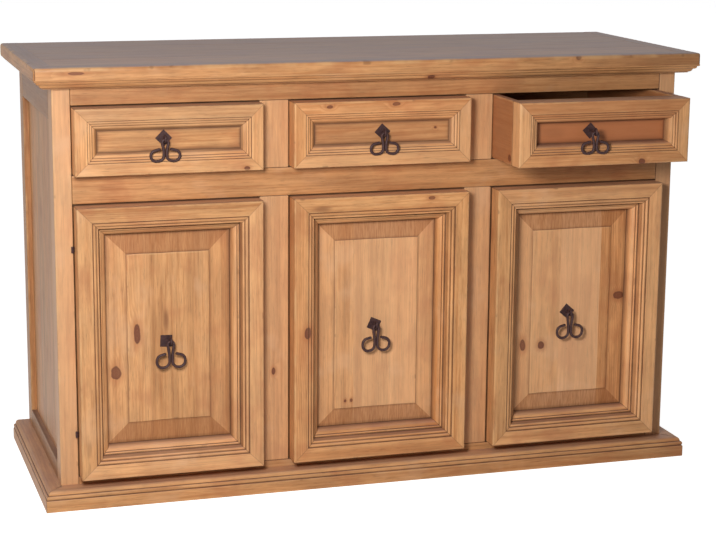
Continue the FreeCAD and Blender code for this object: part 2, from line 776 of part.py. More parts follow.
for node, shape in sorted(make_all().items()):
    assert shape.isValid() and shape.Volume > 0, node
    shape.exportStep("parts/" + node + ".step")
    print(node, len(shape.Solids), round(shape.Volume), [round(value, 1) for value in (
        shape.BoundBox.XMin, shape.BoundBox.XMax, shape.BoundBox.YMin, shape.BoundBox.YMax,
        shape.BoundBox.ZMin, shape.BoundBox.ZMax)])
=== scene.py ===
import math
import random

import bmesh
import bpy
from bpy.props import FloatProperty, FloatVectorProperty, IntProperty, PointerProperty
from mathutils import Matrix, Vector, noise


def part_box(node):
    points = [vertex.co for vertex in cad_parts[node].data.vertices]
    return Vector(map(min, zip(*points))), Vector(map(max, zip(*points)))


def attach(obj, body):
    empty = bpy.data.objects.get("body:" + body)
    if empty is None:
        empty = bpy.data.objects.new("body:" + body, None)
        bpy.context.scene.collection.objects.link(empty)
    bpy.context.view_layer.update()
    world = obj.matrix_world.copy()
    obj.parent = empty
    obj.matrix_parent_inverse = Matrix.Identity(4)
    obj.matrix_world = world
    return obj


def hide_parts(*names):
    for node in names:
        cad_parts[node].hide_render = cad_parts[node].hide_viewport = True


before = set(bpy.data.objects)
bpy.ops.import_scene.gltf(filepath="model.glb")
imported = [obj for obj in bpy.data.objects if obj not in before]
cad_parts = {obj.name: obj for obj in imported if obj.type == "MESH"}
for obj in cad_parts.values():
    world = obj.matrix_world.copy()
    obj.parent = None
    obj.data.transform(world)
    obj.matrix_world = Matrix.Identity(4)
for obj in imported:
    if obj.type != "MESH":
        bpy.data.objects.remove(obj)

bl_info = {
    "name": "Rustic Pine Sideboard",
    "version": (1, 0, 0),
    "blender": (4, 5, 0),
    "location": "3D View > Sidebar > Sideboard",
    "description": "Dresses the packed sideboard in waxed pine and forged iron",
    "category": "Object",
}

# Lengths are millimetres here, and become metres when a mesh is made
MM = 0.001
X_AXIS = Vector((1, 0, 0))
Y_AXIS = Vector((0, 1, 0))
Z_AXIS = Vector((0, 0, 1))
FRONT = Vector((0, -1, 0))


def solid_box(node):
    """Lowest and highest corner of a solid."""
    low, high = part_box(node)
    return Vector(low) / MM, Vector(high) / MM


# Places taken from the solids
PLANKS_LOW, PLANKS_HIGH = solid_box("top_planks")
HALF_WIDTH = PLANKS_HIGH.x
FACE_Y = PLANKS_LOW.y
BACK_Y = PLANKS_HIGH.y
CARCASS_HEIGHT = PLANKS_LOW.z
TOP_HEIGHT = PLANKS_HIGH.z
TOP_OVERHANG = solid_box("top_border")[1].x - HALF_WIDTH
PLINTH_HEIGHT = solid_box("plinth")[1].z
PLINTH_FRONT = FACE_Y - solid_box("plinth")[0].y
PLINTH_SIDE = solid_box("plinth")[1].x - HALF_WIDTH
CORNICE_HEIGHT = CARCASS_HEIGHT - solid_box("cornice")[0].z

# Sizes that a solid's own box doesn't give
PLANK_COUNT = 4
MUNTIN_WIDTH = 63.0
BACK_BOARD_COUNT = 9
FRONT_PROUD = 42.0
SIDE_TOP_RAIL = 89.0
SIDE_BOTTOM_RAIL_TOP = 79.0
SIDE_BOTTOM_RAIL_LIFT = 7.0
OPENING_MIDDLES = (-452.0, 0.0, 452.0)

# Drawers
DRAWER_BAND = 25.0
DRAWER_MOULDING = 21.0
DRAWER_MOULDING_DEPTHS = (12.5, 12.5, 28.0)
DRAWER_STEPS_DEPTH = 9.0
DRAWER_TONGUE = 6.0
DRAWER_WALL = 16.0
DRAWER_INNER_WALL = 12.0
DRAWER_FLOOR_RISE = 8.0
DRAWER_FLOOR_THICKNESS = 6.0
DRAWER_GROOVE = 5.0

# Doors
DOOR_BAND = 30.0
DOOR_MOULDING = 32.0
DOOR_MOULDING_DEPTH = 48.0
DOOR_TONGUE = 8.0
DOOR_THICKNESS = 63.7
DOOR_BEVELS = (44.0, 38.0, 38.0)
DOOR_BEVEL_RISE = 3.0
DOOR_FIELD_STEP = 1.5
PANEL_THICKNESS = 9.0

# Pulls
PLATE_SIZE = 25.0
PLATE_THICKNESS = 1.5
PLATE_TURNS = {"drawer": (45.0, 42.0, 47.0), "door": (3.0, 24.0, 40.0)}
RING_RADIUS = 6.7
RING_WIRE = 2.2
SHOULDER_RADIUS = 4.2
SHOULDER_THICKNESS = 1.5
LEG_LENGTH = 15.0
LEG_WIDTH = 5.0
LEG_THICKNESS = 1.6
BAIL_WIRE = 3.0
BAIL_HALF = 6.5
BAIL_FOOT = 3.1
BAIL_PINCH_SHARE = 0.55
BAIL_REACH = 29.8
BAIL_TIP_RISE = 5.0
BAIL_CLEARANCE = 0.3
BAIL_DROPS = {"drawer": 42.0, "door": 54.0}
BAIL_LOOP_RISES = {"drawer": 18.2, "door": 23.2}
BAIL_BENDS = {"drawer": 11.0, "door": 12.5}

# Nails of the back: the rail behind each row and the row's height, then a head's sizes
NAIL_ROWS = (("Top rail", 862.0), ("Drawer rail", 683.0), ("Shelf rail", 320.0), ("Bottom rail", 34.0))
NAIL_TOP_RADIUS = 1.6
NAIL_HEIGHT = 0.9
NAIL_SINK = 1.2

# How finely boards and panels are divided, and how far grime and painted shade reach from their edges
PLANK_GUARD = 3.5
STATION_PITCH = 70.0
PANEL_PITCH = 42.0
HOLLOW_GRIME_AND_SHADE = 0.34

# The photograph's camera: lens in millimetres, place in metres, and turn, drop and roll in degrees
CAMERA_LENS = 95.42
CAMERA_PLACE = (-1.2108, -4.0056, 1.3158)
CAMERA_ANGLES = (17.2014, 12.1374, 0.4851)

# Outlines as shares. A pair ends a straight line. Four numbers are an arc: its middle, then its end.
PLINTH_SHARES = (
    (1.0, 0.0), (1.0, 0.545), (0.955, 0.59), (0.955, 0.62), (0.985, 0.70, 0.945, 0.78),
    (0.88, 0.79), (0.88, 0.83), (0.835, 0.945, 0.71, 1.0),
)
CORNICE_SHARES = (
    (0.50, 0.0), (0.50, 0.08), (0.62, 0.18, 0.70, 0.43), (0.70, 0.47), (0.74, 0.47), (0.84, 0.57, 0.87, 0.75),
    (0.87, 0.79), (0.92, 0.79), (0.975, 0.87, 0.985, 1.0),
)
DOOR_SHARES = (
    (0.0, 0.05), (0.06, 0.05), (0.15, 0.025, 0.24, 0.065), (0.25, 0.11), (0.30, 0.11),
    (0.37, 0.10, 0.43, 0.16), (0.50, 0.43), (0.55, 0.44), (0.61, 0.415, 0.65, 0.47), (0.66, 0.53),
    (0.69, 0.53), (0.82, 0.57, 0.93, 0.69),
)
DRAWER_SHARES = (
    (0.0, 0.14), (0.05, 0.14), (0.14, 0.05, 0.24, 0.18), (0.26, 0.42), (0.32, 0.42),
    (0.42, 0.46, 0.50, 0.64), (0.56, 0.64), (0.68, 0.70, 0.80, 1.0),
)


# Node trees
class Value:
    """A socket's value. Sums written on it in Python add the Math nodes that they need."""

    def __init__(self, graph, socket):
        self.graph = graph
        self.socket = socket

    def sum(self, operation, first, second):
        return self.graph.add("ShaderNodeMath", {"operation": operation}, {0: first, 1: second})

    def __add__(self, other):
        return self.sum("ADD", self, other)

    def __radd__(self, other):
        return self.sum("ADD", other, self)

    def __sub__(self, other):
        return self.sum("SUBTRACT", self, other)

    def __rsub__(self, other):
        return self.sum("SUBTRACT", other, self)

    def __mul__(self, other):
        return self.sum("MULTIPLY", self, other)

    def __rmul__(self, other):
        return self.sum("MULTIPLY", other, self)

    def __truediv__(self, other):
        return self.sum("DIVIDE", self, other)

    def __pow__(self, other):
        return self.sum("POWER", self, other)

    def output(self, name):
        """Another output of the same node."""
        return Value(self.graph, self.socket.node.outputs[name])


class Graph:
    """A node tree under construction."""

    def __init__(self, tree):
        self.tree = tree
        tree.nodes.clear()

    def add(self, kind, settings=None, inputs=None, output=0):
        """A node of a kind, its settings first, then the values or links of its sockets."""
        node = self.tree.nodes.new(kind)
        for name, value in (settings or {}).items():
            setattr(node, name, value)
        for key, value in (inputs or {}).items():
            if isinstance(value, Value):
                self.tree.links.new(value.socket, node.inputs[key])
            else:
                node.inputs[key].default_value = value
        if not node.outputs:
            return None
        return Value(self, node.outputs[output])

    def attribute(self, name, output):
        return self.add("ShaderNodeAttribute", {"attribute_name": name}, output=output)

    def split(self, vector):
        parts = self.add("ShaderNodeSeparateXYZ", inputs={0: vector})
        return parts, parts.output("Y"), parts.output("Z")

    def join(self, x, y, z):
        return self.add("ShaderNodeCombineXYZ", inputs={0: x, 1: y, 2: z})

    def stretched(self, vector, scales):
        return self.add("ShaderNodeVectorMath", {"operation": "MULTIPLY"}, {0: vector, 1: scales})

    def cloud(self, vector, scale, detail=2.0, roughness=0.5):
        """Soft noise from 0 to 1."""
        return self.add("ShaderNodeTexNoise", None,
                        {"Vector": vector, "Scale": scale, "Detail": detail, "Roughness": roughness})

    def rise(self, value, low, high):
        """0 below low and 1 above high, smooth between. low may be the larger."""
        return self.add("ShaderNodeMapRange", {"interpolation_type": "SMOOTHSTEP"},
                        {"Value": value, "From Min": low, "From Max": high})

    def blend(self, first, second, share, kind="MIX"):
        """Mixes two colours."""
        return self.add("ShaderNodeMix", {"data_type": "RGBA", "blend_type": kind, "clamp_factor": True},
                        {0: share, 6: first, 7: second}, output=2)

    def dimmed(self, colour, share):
        """A colour times a number."""
        return self.add("ShaderNodeVectorMath", {"operation": "SCALE"}, {0: colour, "Scale": share})


def new_material(name):
    material = bpy.data.materials.new(name + "_finish")
    material.use_nodes = True
    return material, Graph(material.node_tree)


def rgba(colour):
    return (*colour, 1.0)


def knot_marks(graph, name, wobble):
    """Distance from a knot in sizes of the knot, and how strong the knot is."""
    x, y, strength = graph.split(graph.attribute(name, "Vector"))
    distance = (x * x + y * y) ** 0.5 + (wobble - 0.5) * 0.7
    return distance, strength


def pine_surface(graph, grain, colours, marked):
    """Colour, roughness and relief of pine: rings, fibres and knots, then grime with painted shade, wear, and dust
    with a painted sheen.
    """
    along, across, out = graph.split(grain)
    wander = graph.cloud(graph.stretched(grain, (1.6, 11.0, 11.0)), 1.0, 2.0)
    ripple = graph.cloud(graph.stretched(grain, (9.0, 70.0, 70.0)), 1.0, 2.0)
    fibre = graph.cloud(graph.stretched(grain, (22.0, 1300.0, 1300.0)), 1.0, 3.0, 0.7)
    streak = graph.cloud(graph.stretched(grain, (8.0, 190.0, 190.0)), 1.0, 3.0, 0.65)
    wide = graph.cloud(graph.stretched(grain, (2.4, 24.0, 24.0)), 1.0, 3.0, 0.55)
    blotch = graph.cloud(graph.stretched(grain, (9.0, 42.0, 42.0)), 1.0, 3.0, 0.65)
    patch = graph.cloud(grain, 9.0, 3.0, 0.6)
    speck = graph.cloud(grain, 210.0, 2.0, 0.6)
    band = graph.cloud(graph.stretched(grain, (0.8, 58.0, 58.0)), 1.0, 2.0)
    line = graph.cloud(graph.stretched(grain, (1.5, 480.0, 480.0)), 1.0, 2.0, 0.6)
    dash = graph.cloud(graph.stretched(grain, (36.0, 420.0, 420.0)), 1.0, 3.0, 0.65)
    radius = (across * across + out * out) ** 0.5 + (wander - 0.5) * 0.034 + (ripple - 0.5) * 0.0035
    knots = []
    if marked:
        wobble = graph.cloud(grain, 60.0, 2.0)
        knots = [knot_marks(graph, name, wobble) for name in ("knot_one", "knot_two")]
        for distance, strength in knots:
            radius = radius + graph.rise(distance, 3.6, 0.5) * strength * 0.0075
    ring = graph.add("ShaderNodeMath", {"operation": "FRACT"}, {0: radius / colours.ring_spacing})
    late = graph.rise(ring, 0.25, 0.86) * graph.rise(ring, 1.0, 0.9)
    show = graph.rise(wide, 0.40, 0.72) * 0.46 + 0.06
    colour = graph.blend(rgba(colours.early_wood), rgba(colours.late_wood), late * show)
    colour = graph.blend(colour, rgba(colours.late_wood), graph.rise(band, 0.42, 0.78) * 0.60)
    colour = graph.blend(colour, rgba(colours.late_wood), graph.rise(streak, 0.46, 0.72) * 0.62)
    colour = graph.dimmed(colour, 0.72 + fibre * 0.18 + wide * 0.20 + graph.rise(blotch, 0.34, 0.66) * 0.24
                          - graph.rise(line, 0.56, 0.72) * 0.18 - graph.rise(dash, 0.54, 0.70) * 0.24)
    colour = graph.blend(colour, rgba(colours.red_wood), graph.rise(patch, 0.50, 0.72) * 0.44)
    rough = 0.42 + wide * 0.14 - late * 0.04 + speck * 0.06
    relief = fibre * 0.035 + late * 0.03 + graph.cloud(grain, 28.0, 2.0) * 0.30 + patch * 0.5
    if not marked:
        return colour, rough, relief
    tone, red, dust = graph.split(graph.attribute("tone", "Vector"))
    colour = graph.blend(colour, rgba(colours.pale_wood), graph.rise(patch, 0.46, 0.28) * 0.32 - red)
    colour = graph.dimmed(colour, 1.0 + tone * 0.17)
    colour = graph.blend(colour, rgba(colours.red_wood), red)
    for distance, strength in knots:
        turns = graph.add("ShaderNodeMath", {"operation": "FRACT"}, {0: distance * 3.2})
        halo = graph.rise(distance, 2.4, 0.8) * strength
        core = graph.rise(distance, 1.05, 0.72) * strength
        edge = graph.rise(distance, 0.60, 0.82) * graph.rise(distance, 1.05, 0.85) * strength
        colour = graph.blend(colour, rgba(colours.knot_halo), halo * 0.50)
        colour = graph.blend(colour, rgba(colours.knot), core * (0.80 + turns * 0.18))
        colour = graph.blend(colour, rgba(colours.knot_edge), edge * 0.60)
        relief = relief - core * 0.12
    stain_x, stain_y, stain_strength = graph.split(graph.attribute("stain", "Vector"))
    stain_distance = (stain_x * stain_x + stain_y * stain_y) ** 0.5 + (patch - 0.5) * 1.4
    stained = graph.rise(stain_distance, 1.15, 0.25) * stain_strength
    colour = graph.blend(colour, rgba(colours.stain), stained * 0.75)
    end_cut = graph.attribute("end_cut", "Fac")
    colour = graph.blend(colour, rgba(colours.end_grain), end_cut * (0.46 + 0.22 * graph.rise(line, 0.40, 0.62)))
    # Level faces get a grey cast: dust, and a painted sheen that stands for the grazing reflection on the top
    up = graph.add("ShaderNodeNewGeometry", output="Normal")
    level = graph.rise(graph.split(up)[2], 0.55, 0.92)
    dust_and_sheen_mask = level * dust
    colour = graph.blend(colour, rgba(colours.dust), dust_and_sheen_mask * (0.52 + patch * 0.3 + streak * 0.24))
    colour = graph.dimmed(colour, 1.0 + dust_and_sheen_mask * ((streak - 0.5) * 0.40 + (wide - 0.5) * 0.30 + (fibre - 0.5) * 0.25))
    wear = graph.attribute("wear", "Fac")
    rubbed = wear * graph.rise(graph.cloud(grain, 22.0, 2.0, 0.5), 0.36, 0.70)
    colour = graph.blend(colour, rgba(colours.worn), rubbed * 0.42)
    chip = wear * graph.rise(graph.cloud(grain, 34.0, 2.0, 0.5), 0.64, 0.74)
    colour = graph.blend(colour, rgba(colours.grime), chip * 0.36)
    # Grime colour by the grime attribute: real grime, and painted shade in hollows, gaps, mitres and round the panels
    grime = graph.attribute("grime", "Fac") * (0.66 + patch * 0.75)
    colour = graph.blend(colour, rgba(colours.grime), grime)
    marks = graph.rise(speck, 0.72, 0.80) * 0.25
    colour = graph.blend(colour, rgba(colours.grime), marks)
    rough = rough + grime * 0.25 + dust_and_sheen_mask * 0.08 + end_cut * 0.08
    relief = relief - marks * 0.08
    return colour, rough, relief


def finish_surface(graph, colour, rough, relief, metallic=0.0, coat=0.0, specular=0.5):
    """The shader itself, with the relief in millimetres."""
    bump = graph.add("ShaderNodeBump", None, {"Height": relief, "Distance": MM, "Strength": 1.0})
    surface = graph.add("ShaderNodeBsdfPrincipled", None, {
        "Base Color": colour, "Roughness": rough, "Normal": bump, "Metallic": metallic,
        "Coat Weight": coat, "Specular IOR Level": specular, "Coat Roughness": 0.35})
    graph.add("ShaderNodeOutputMaterial", None, {"Surface": surface})


def pine_material(name, colours, axis=None, marked=False, coat=0.0):
    """Pine that reads each board's own grain, or one that reads its place, with the grain along an axis."""
    material, graph = new_material(name)
    if axis is None:
        grain = graph.attribute("grain", "Vector")
    else:
        x, y, z = graph.split(graph.add("ShaderNodeTexCoord", output="Object"))
        order = {"X": (x, y + 0.21, z + 0.13), "Y": (y, x + 0.17, z + 0.11), "Z": (z, x + 0.23, y + 0.09)}
        grain = graph.join(*order[axis])
    colour, rough, relief = pine_surface(graph, grain, colours, marked)
    finish_surface(graph, colour, rough, relief, coat=coat, specular=0.32)
    return material


def iron_material(colours):
    """Wrought iron, black with a brown skin, hammered and pitted."""
    material, graph = new_material("forged_iron")
    place = graph.add("ShaderNodeTexCoord", output="Object")
    hammer = graph.cloud(place, 130.0, 1.0)
    pits = graph.cloud(place, 900.0, 3.0, 0.7)
    skin = graph.cloud(place, 260.0, 3.0, 0.65)
    rust = graph.rise(skin, 0.48, 0.68)
    colour = graph.blend(rgba(colours.iron), rgba(colours.iron_rust), rust * 0.75)
    colour = graph.dimmed(colour, 0.75 + pits * 0.5)
    rough = 0.44 + rust * 0.20 + pits * 0.10
    relief = hammer * 0.55 + pits * 0.08 + skin * 0.12
    finish_surface(graph, colour, rough, relief, metallic=0.24 - rust * 0.16, specular=0.30)
    return material


def steel_material(colours):
    """Bright sprung steel, lightly brushed."""
    material, graph = new_material("catch_steel")
    place = graph.add("ShaderNodeTexCoord", output="Object")
    brush = graph.cloud(graph.stretched(place, (20.0, 900.0, 900.0)), 1.0, 3.0, 0.6)
    film = graph.cloud(place, 70.0, 3.0)
    colour = graph.blend(rgba(colours.steel), rgba(colours.iron_rust), graph.rise(film, 0.55, 0.8) * 0.35)
    finish_surface(graph, colour, 0.28 + brush * 0.2, brush * 0.02, metallic=0.9)
    return material


# Boards
class Board:
    """One board: the way its grain runs, where it sat in the log, and what marks it has."""

    def __init__(self, draw, origin, along, out, tone=None, red=None, dust=0.35, knots=(), stain=None):
        self.origin = Vector(origin)
        self.along = Vector(along)
        self.out = Vector(out)
        self.across = self.out.cross(self.along)
        side = draw.choice((-1.0, 1.0))
        self.pith = Vector((draw.uniform(-2.0, 2.0), side * draw.uniform(0.012, 0.085),
                            draw.uniform(0.03, 0.11)))
        self.tone = draw.uniform(-1.1, 0.8) if tone is None else tone
        self.red = draw.uniform(-0.25, 0.25) if red is None else red
        self.dust = dust
        self.knots = knots
        self.stain = stain

    def local(self, point, origin):
        step = point - origin
        return Vector((step.dot(self.along), step.dot(self.across), step.dot(self.out)))

    def mark(self, point, mark):
        """Where a point lies from a knot or stain: (place, length along, width across, strength)."""
        if mark is None:
            return (0.0, 9.0, 0.0)
        place, length, width, strength = mark
        here = self.local(point, Vector(place))
        return (here.x / length, here.y / width, strength)

    def marks(self, point):
        grain = self.local(point, self.origin) * MM + self.pith
        pair = (tuple(self.knots) + (None, None))[:2]
        return {
            "grain": tuple(grain),
            "tone": (self.tone, self.red, self.dust),
            "knot_one": self.mark(point, pair[0]),
            "knot_two": self.mark(point, pair[1]),
            "stain": self.mark(point, self.stain),
        }


VECTOR_MARKS = ("grain", "tone", "knot_one", "knot_two", "stain")


class Timber:
    """Boards gathered into one mesh."""

    def __init__(self):
        self.points = []
        self.faces = []
        self.end_cuts = []
        self.marks = {name: [] for name in VECTOR_MARKS + ("grime", "wear")}

    def add(self, board, points, faces, grime, wear, end_cuts=()):
        start = len(self.points)
        for point in points:
            for name, value in board.marks(point).items():
                self.marks[name].append(value)
        self.points += [tuple(point * MM) for point in points]
        self.faces += [tuple(start + index for index in face) for face in faces]
        ends = set(end_cuts)
        self.end_cuts += [1.0 if index in ends else 0.0 for index in range(len(faces))]
        self.marks["grime"] += grime
        self.marks["wear"] += wear

    def make(self, name, material):
        mesh = bpy.data.meshes.new(name)
        mesh.from_pydata(self.points, [], self.faces)
        for mark, values in self.marks.items():
            kind, field = ("FLOAT_VECTOR", "vector") if mark in VECTOR_MARKS else ("FLOAT", "value")
            attribute = mesh.attributes.new(mark, kind, "POINT")
            flat = [number for value in values for number in value] if field == "vector" else values
            attribute.data.foreach_set(field, flat)
        mesh.attributes.new("end_cut", "FLOAT", "FACE").data.foreach_set("value", self.end_cuts)
        return finished(name, mesh, material)


def finished(name, mesh, material, sharp=32.0):
    """An object from a mesh, with faces that point outwards and shade smoothly up to an angle."""
    shape = bmesh.new()
    shape.from_mesh(mesh)
    bmesh.ops.recalc_face_normals(shape, faces=shape.faces)
    shape.to_mesh(mesh)
    shape.free()
    mesh.shade_smooth()
    mesh.set_sharp_from_angle(angle=math.radians(sharp))
    mesh.materials.clear()
    mesh.materials.append(material)
    piece = bpy.data.objects.new(name, mesh)
    bpy.context.scene.collection.objects.link(piece)
    return piece


def placed(piece, body, slot, *nodes):
    """Puts a piece on its body, in place of its solids."""
    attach(piece, body)
    if nodes:
        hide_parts(*nodes)
    return piece


def loft(rings):
    """Faces between rings of points, and a cap at each end. The caps come last."""
    count = len(rings[0])
    points = [point for ring in rings for point in ring]
    faces = []
    for ring in range(len(rings) - 1):
        for index in range(count):
            after = (index + 1) % count
            low, high = ring * count, (ring + 1) * count
            faces.append((low + index, low + after, high + after, high + index))
    last = (len(rings) - 1) * count
    faces.append(tuple(reversed(range(count))))
    faces.append(tuple(range(last, last + count)))
    return points, faces


def rounded_section(half_across, half_out, radius, guard):
    """A board's section with round corners: across, out, wear, and how much each point belongs to
    the front of its lower and of its upper side."""
    outline = []
    guard_across = min(guard, 0.6 * (half_across - radius))
    guard_out = min(guard, 0.6 * (half_out - radius))
    for quarter, (side, face) in enumerate(((1, 1), (-1, 1), (-1, -1), (1, -1))):
        across, out = side * (half_across - radius), face * (half_out - radius)

        def point(a, o, worn, sideways, side=side, face=face):
            front = sideways if face > 0 else 0.0
            return (a, o, worn, front if side < 0 else 0.0, front if side > 0 else 0.0)

        upright = point(side * half_across, out - face * guard_out, 0.0, 0.7)
        level = point(across - side * guard_across, face * half_out, 0.0, 0.0)
        arc = []
        for step in range(4):
            angle = math.radians(90 * quarter + 30 * step)
            arc.append(point(across + radius * math.cos(angle), out + radius * math.sin(angle), 1.0,
                             abs(math.cos(angle))))
        first, last = (upright, level) if quarter % 2 == 0 else (level, upright)
        outline += [first] + arc + [last]
    return outline


def wave(seed, distance, size):
    """A hand plane's unevenness along a board, never outwards."""
    return size * (0.5 + 0.5 * noise.noise(Vector((seed, distance / 85.0, seed * 0.37))))


def stations(length, radius, guard, spacing):
    """Distances along a board and the inset of its section there, closer together at the ends."""
    ends = [(0.0, radius, 1.0)]
    for angle in (30.0, 60.0, 90.0):
        turn = math.radians(angle)
        ends.append((radius * (1 - math.cos(turn)), radius * (1 - math.sin(turn)), 1.0))
    ends.append((radius + guard, 0.0, 0.0))
    inner = length - 2 * (radius + guard)
    count = max(1, round(inner / spacing))
    middle = [(radius + guard + inner * step / count, 0.0, 0.0) for step in range(1, count)]
    far = [(length - distance, inset, worn) for distance, inset, worn in reversed(ends)]
    return ends + middle + far


def add_plank(timber, draw, low, high, along, out, radius=1.2, uneven=0.25, sunk=(0.0, 0.0),
              worn_edge=1.0, **looks):
    """A plain board that fills a box, its edges softened and its faces a little uneven.
    Its side darkening is grime and painted shade on the front of its lower and of its upper side, where a side faces
    an opening, a recess or the next plank."""
    low, high, along, out = Vector(low), Vector(high), Vector(along), Vector(out)
    middle = (low + high) / 2
    size = high - low
    board = Board(draw, middle, along, out, **looks)
    across = board.across
    length = abs(size.dot(along))
    half_across = abs(size.dot(across)) / 2
    half_out = abs(size.dot(out)) / 2
    radius = min(radius, 0.45 * min(half_across, half_out))
    seed = draw.uniform(0, 400)
    rings, wears, grime_and_shade_values = [], [], []
    for distance, inset, worn in stations(length, radius, PLANK_GUARD, STATION_PITCH):
        slack_across = wave(seed, distance, uneven)
        slack_out = wave(seed + 50, distance, uneven)
        section = rounded_section(half_across - inset - slack_across, half_out - inset - slack_out, radius,
                                  PLANK_GUARD)
        start = middle + along * (distance - length / 2)
        rings.append([start + across * a + out * c for a, c, _, _, _ in section])
        wears += [max(worn, edge) * worn_edge for _, _, edge, _, _ in section]
        # Painted shade on the sides that face an opening or a recess, and dark seams
        grime_and_shade_values += [lower * sunk[0] + upper * sunk[1] for _, _, _, lower, upper in section]
    points, faces = loft(rings)
    timber.add(board, points, faces, grime_and_shade_values, wears, (len(faces) - 2, len(faces) - 1))


def arc_points(start, middle, end, count=7):
    """Points on an arc through three points, without its start."""
    (ax, ay), (bx, by), (cx, cy) = start, middle, end
    a, b, c = ax * ax + ay * ay, bx * bx + by * by, cx * cx + cy * cy
    d = 2 * (ax * (by - cy) + bx * (cy - ay) + cx * (ay - by))
    ux = (a * (by - cy) + b * (cy - ay) + c * (ay - by)) / d
    uy = (a * (cx - bx) + b * (ax - cx) + c * (bx - ax)) / d
    radius = math.hypot(ax - ux, ay - uy)
    first = math.atan2(ay - uy, ax - ux)
    through = (math.atan2(by - uy, bx - ux) - first) % math.tau
    turn = (math.atan2(cy - uy, cx - ux) - first) % math.tau
    if through > turn:
        turn -= math.tau
    points = []
    for step in range(1, count + 1):
        angle = first + turn * step / count
        points.append((ux + radius * math.cos(angle), uy + radius * math.sin(angle)))
    return points


def drawn_outline(start, shares, across, up, across_start=0.0, up_start=0.0):
    """The points of an outline that is written as shares, its arcs divided."""
    points = [start]
    for step in shares:
        place = [
            across_start + share * across if index % 2 == 0 else up_start + share * up
            for index, share in enumerate(step)
        ]
        if len(place) == 4:
            points += arc_points(points[-1], tuple(place[:2]), tuple(place[2:]))
        else:
            points.append(tuple(place))
    return points


def softened(points, rounds, small=0.35, guard=1.3, settled=0.0):
    """Rounds the corners of a closed outline. Hollows get grime and painted shade, and ridges get wear.
    rounds gives some corners a larger radius, by their number."""
    count = len(points)
    area = sum(points[i][0] * points[(i + 1) % count][1] - points[(i + 1) % count][0] * points[i][1]
               for i in range(count))
    way = 1.0 if area > 0 else -1.0
    outline = []
    for index in range(count):
        here = Vector(points[index])
        before = here - Vector(points[index - 1])
        after = Vector(points[(index + 1) % count]) - here
        turn = math.degrees(before.angle_signed(after)) * -way
        if abs(turn) < 26:
            grime = settled + (HOLLOW_GRIME_AND_SHADE if turn < -4 else 0.0)
            outline.append((here.x, here.y, grime, 0.15 if turn > 4 else 0.0))
            continue
        size = min(rounds.get(index, small), 0.3 * before.length, 0.3 * after.length)
        reach = min(guard + size, 0.45 * before.length), min(guard + size, 0.45 * after.length)
        # A hollow corner is darkened: grime and painted shade; a ridge is worn
        grime, wear = (min(1.0, -turn / 45), 0.0) if turn < 0 else (0.0, 1.0)
        one = here - before.normalized() * size
        two = here + after.normalized() * size
        first, last = here - before.normalized() * reach[0], here + after.normalized() * reach[1]
        beside = max(settled, HOLLOW_GRIME_AND_SHADE * grime)
        outline.append((first.x, first.y, beside, 0.0))
        for share in (0.0, 0.5, 1.0) if size < 1.0 else (0.0, 0.25, 0.5, 0.75, 1.0):
            place = one * (1 - share) ** 2 + here * 2 * share * (1 - share) + two * share ** 2
            outline.append((place.x, place.y, max(settled, grime), wear))
        outline.append((last.x, last.y, beside, 0.0))
    return outline


def add_sweep(timber, draw, outline, place, first, last, board, mitred=(True, True), uneven=0.0):
    """An outline swept along a straight line. first and last give where it is cut, for each of its points."""
    seed = draw.uniform(0, 400)
    length = max(last(u, d) for u, d, _, _ in outline) - min(first(u, d) for u, d, _, _ in outline)
    line = 1.1 / length
    steps = [0.0, line * 0.5, line, 3.0 * line]
    count = max(1, round(length / STATION_PITCH))
    steps += [step / count for step in range(1, count)]
    steps += [1 - step for step in reversed((0.0, line * 0.5, line, 3.0 * line))]
    rings, grime_and_shade_values, wears = [], [], []
    for number, step in enumerate(steps):
        # Mitred ends are darkened: painted shade for the shadow in the mitre gap
        shaded_mitre_end = number in (0, 1) and mitred[0] or number in (len(steps) - 2, len(steps) - 1) and mitred[1]
        ring = []
        for u, d, grime, wear in outline:
            s = first(u, d) * (1 - step) + last(u, d) * step
            slack = wave(seed + 9, s, uneven)
            ring.append(place(s, u, d + slack if d < 1.0 else d))
            grime_and_shade_values.append(max(grime, (0.24 if d < 1.0 else 0.55) if shaded_mitre_end else 0.0))
            wears.append(wear)
        rings.append(ring)
    points, faces = loft(rings)
    timber.add(board, points, faces, grime_and_shade_values, wears, (len(faces) - 2, len(faces) - 1))


# Fronts
def frame_outline(band, moulding, steps_depth, depth, shares, thickness, tongue):
    """The section of a front's frame member: flat band, moulding, groove for the panel, and back.
    Its outer side has painted shade where it meets the face of the carcass, and the foot of its moulding has painted
    shade with some grime."""
    inner = band + moulding
    groove = depth + PANEL_THICKNESS
    points = [(0.0, thickness)]
    # Points on the outer side carry the painted shade near the carcass face
    points += [(0.0, FRONT_PROUD + step) for step in (6.0, 1.0, -1.0, -3.5)
               if FRONT_PROUD + step < thickness]
    corner = len(points)
    points.append((0.0, 0.0))
    points += drawn_outline((band, 0.0), shares, moulding, steps_depth, band, 0.0)
    points += [(inner, depth), (inner - tongue, depth), (inner - tongue, groove), (inner, groove),
               (inner, thickness)]
    outline = []
    for u, d, grime, wear in softened(points, {corner: 2.8, corner + 1: 0.5}, guard=1.8):
        # Painted shade where the side meets the carcass face, and in the foot of the moulding by the panel, with some
        # grime
        contact_shade = u < 1.0 and abs(d - FRONT_PROUD) < 2.0
        shaded_foot = inner - 3.0 < u and 0.8 * depth < d < groove
        outline.append((u, d, 0.9 if contact_shade else 0.6 if shaded_foot else grime, 0.0 if contact_shade or shaded_foot else wear))
    return outline


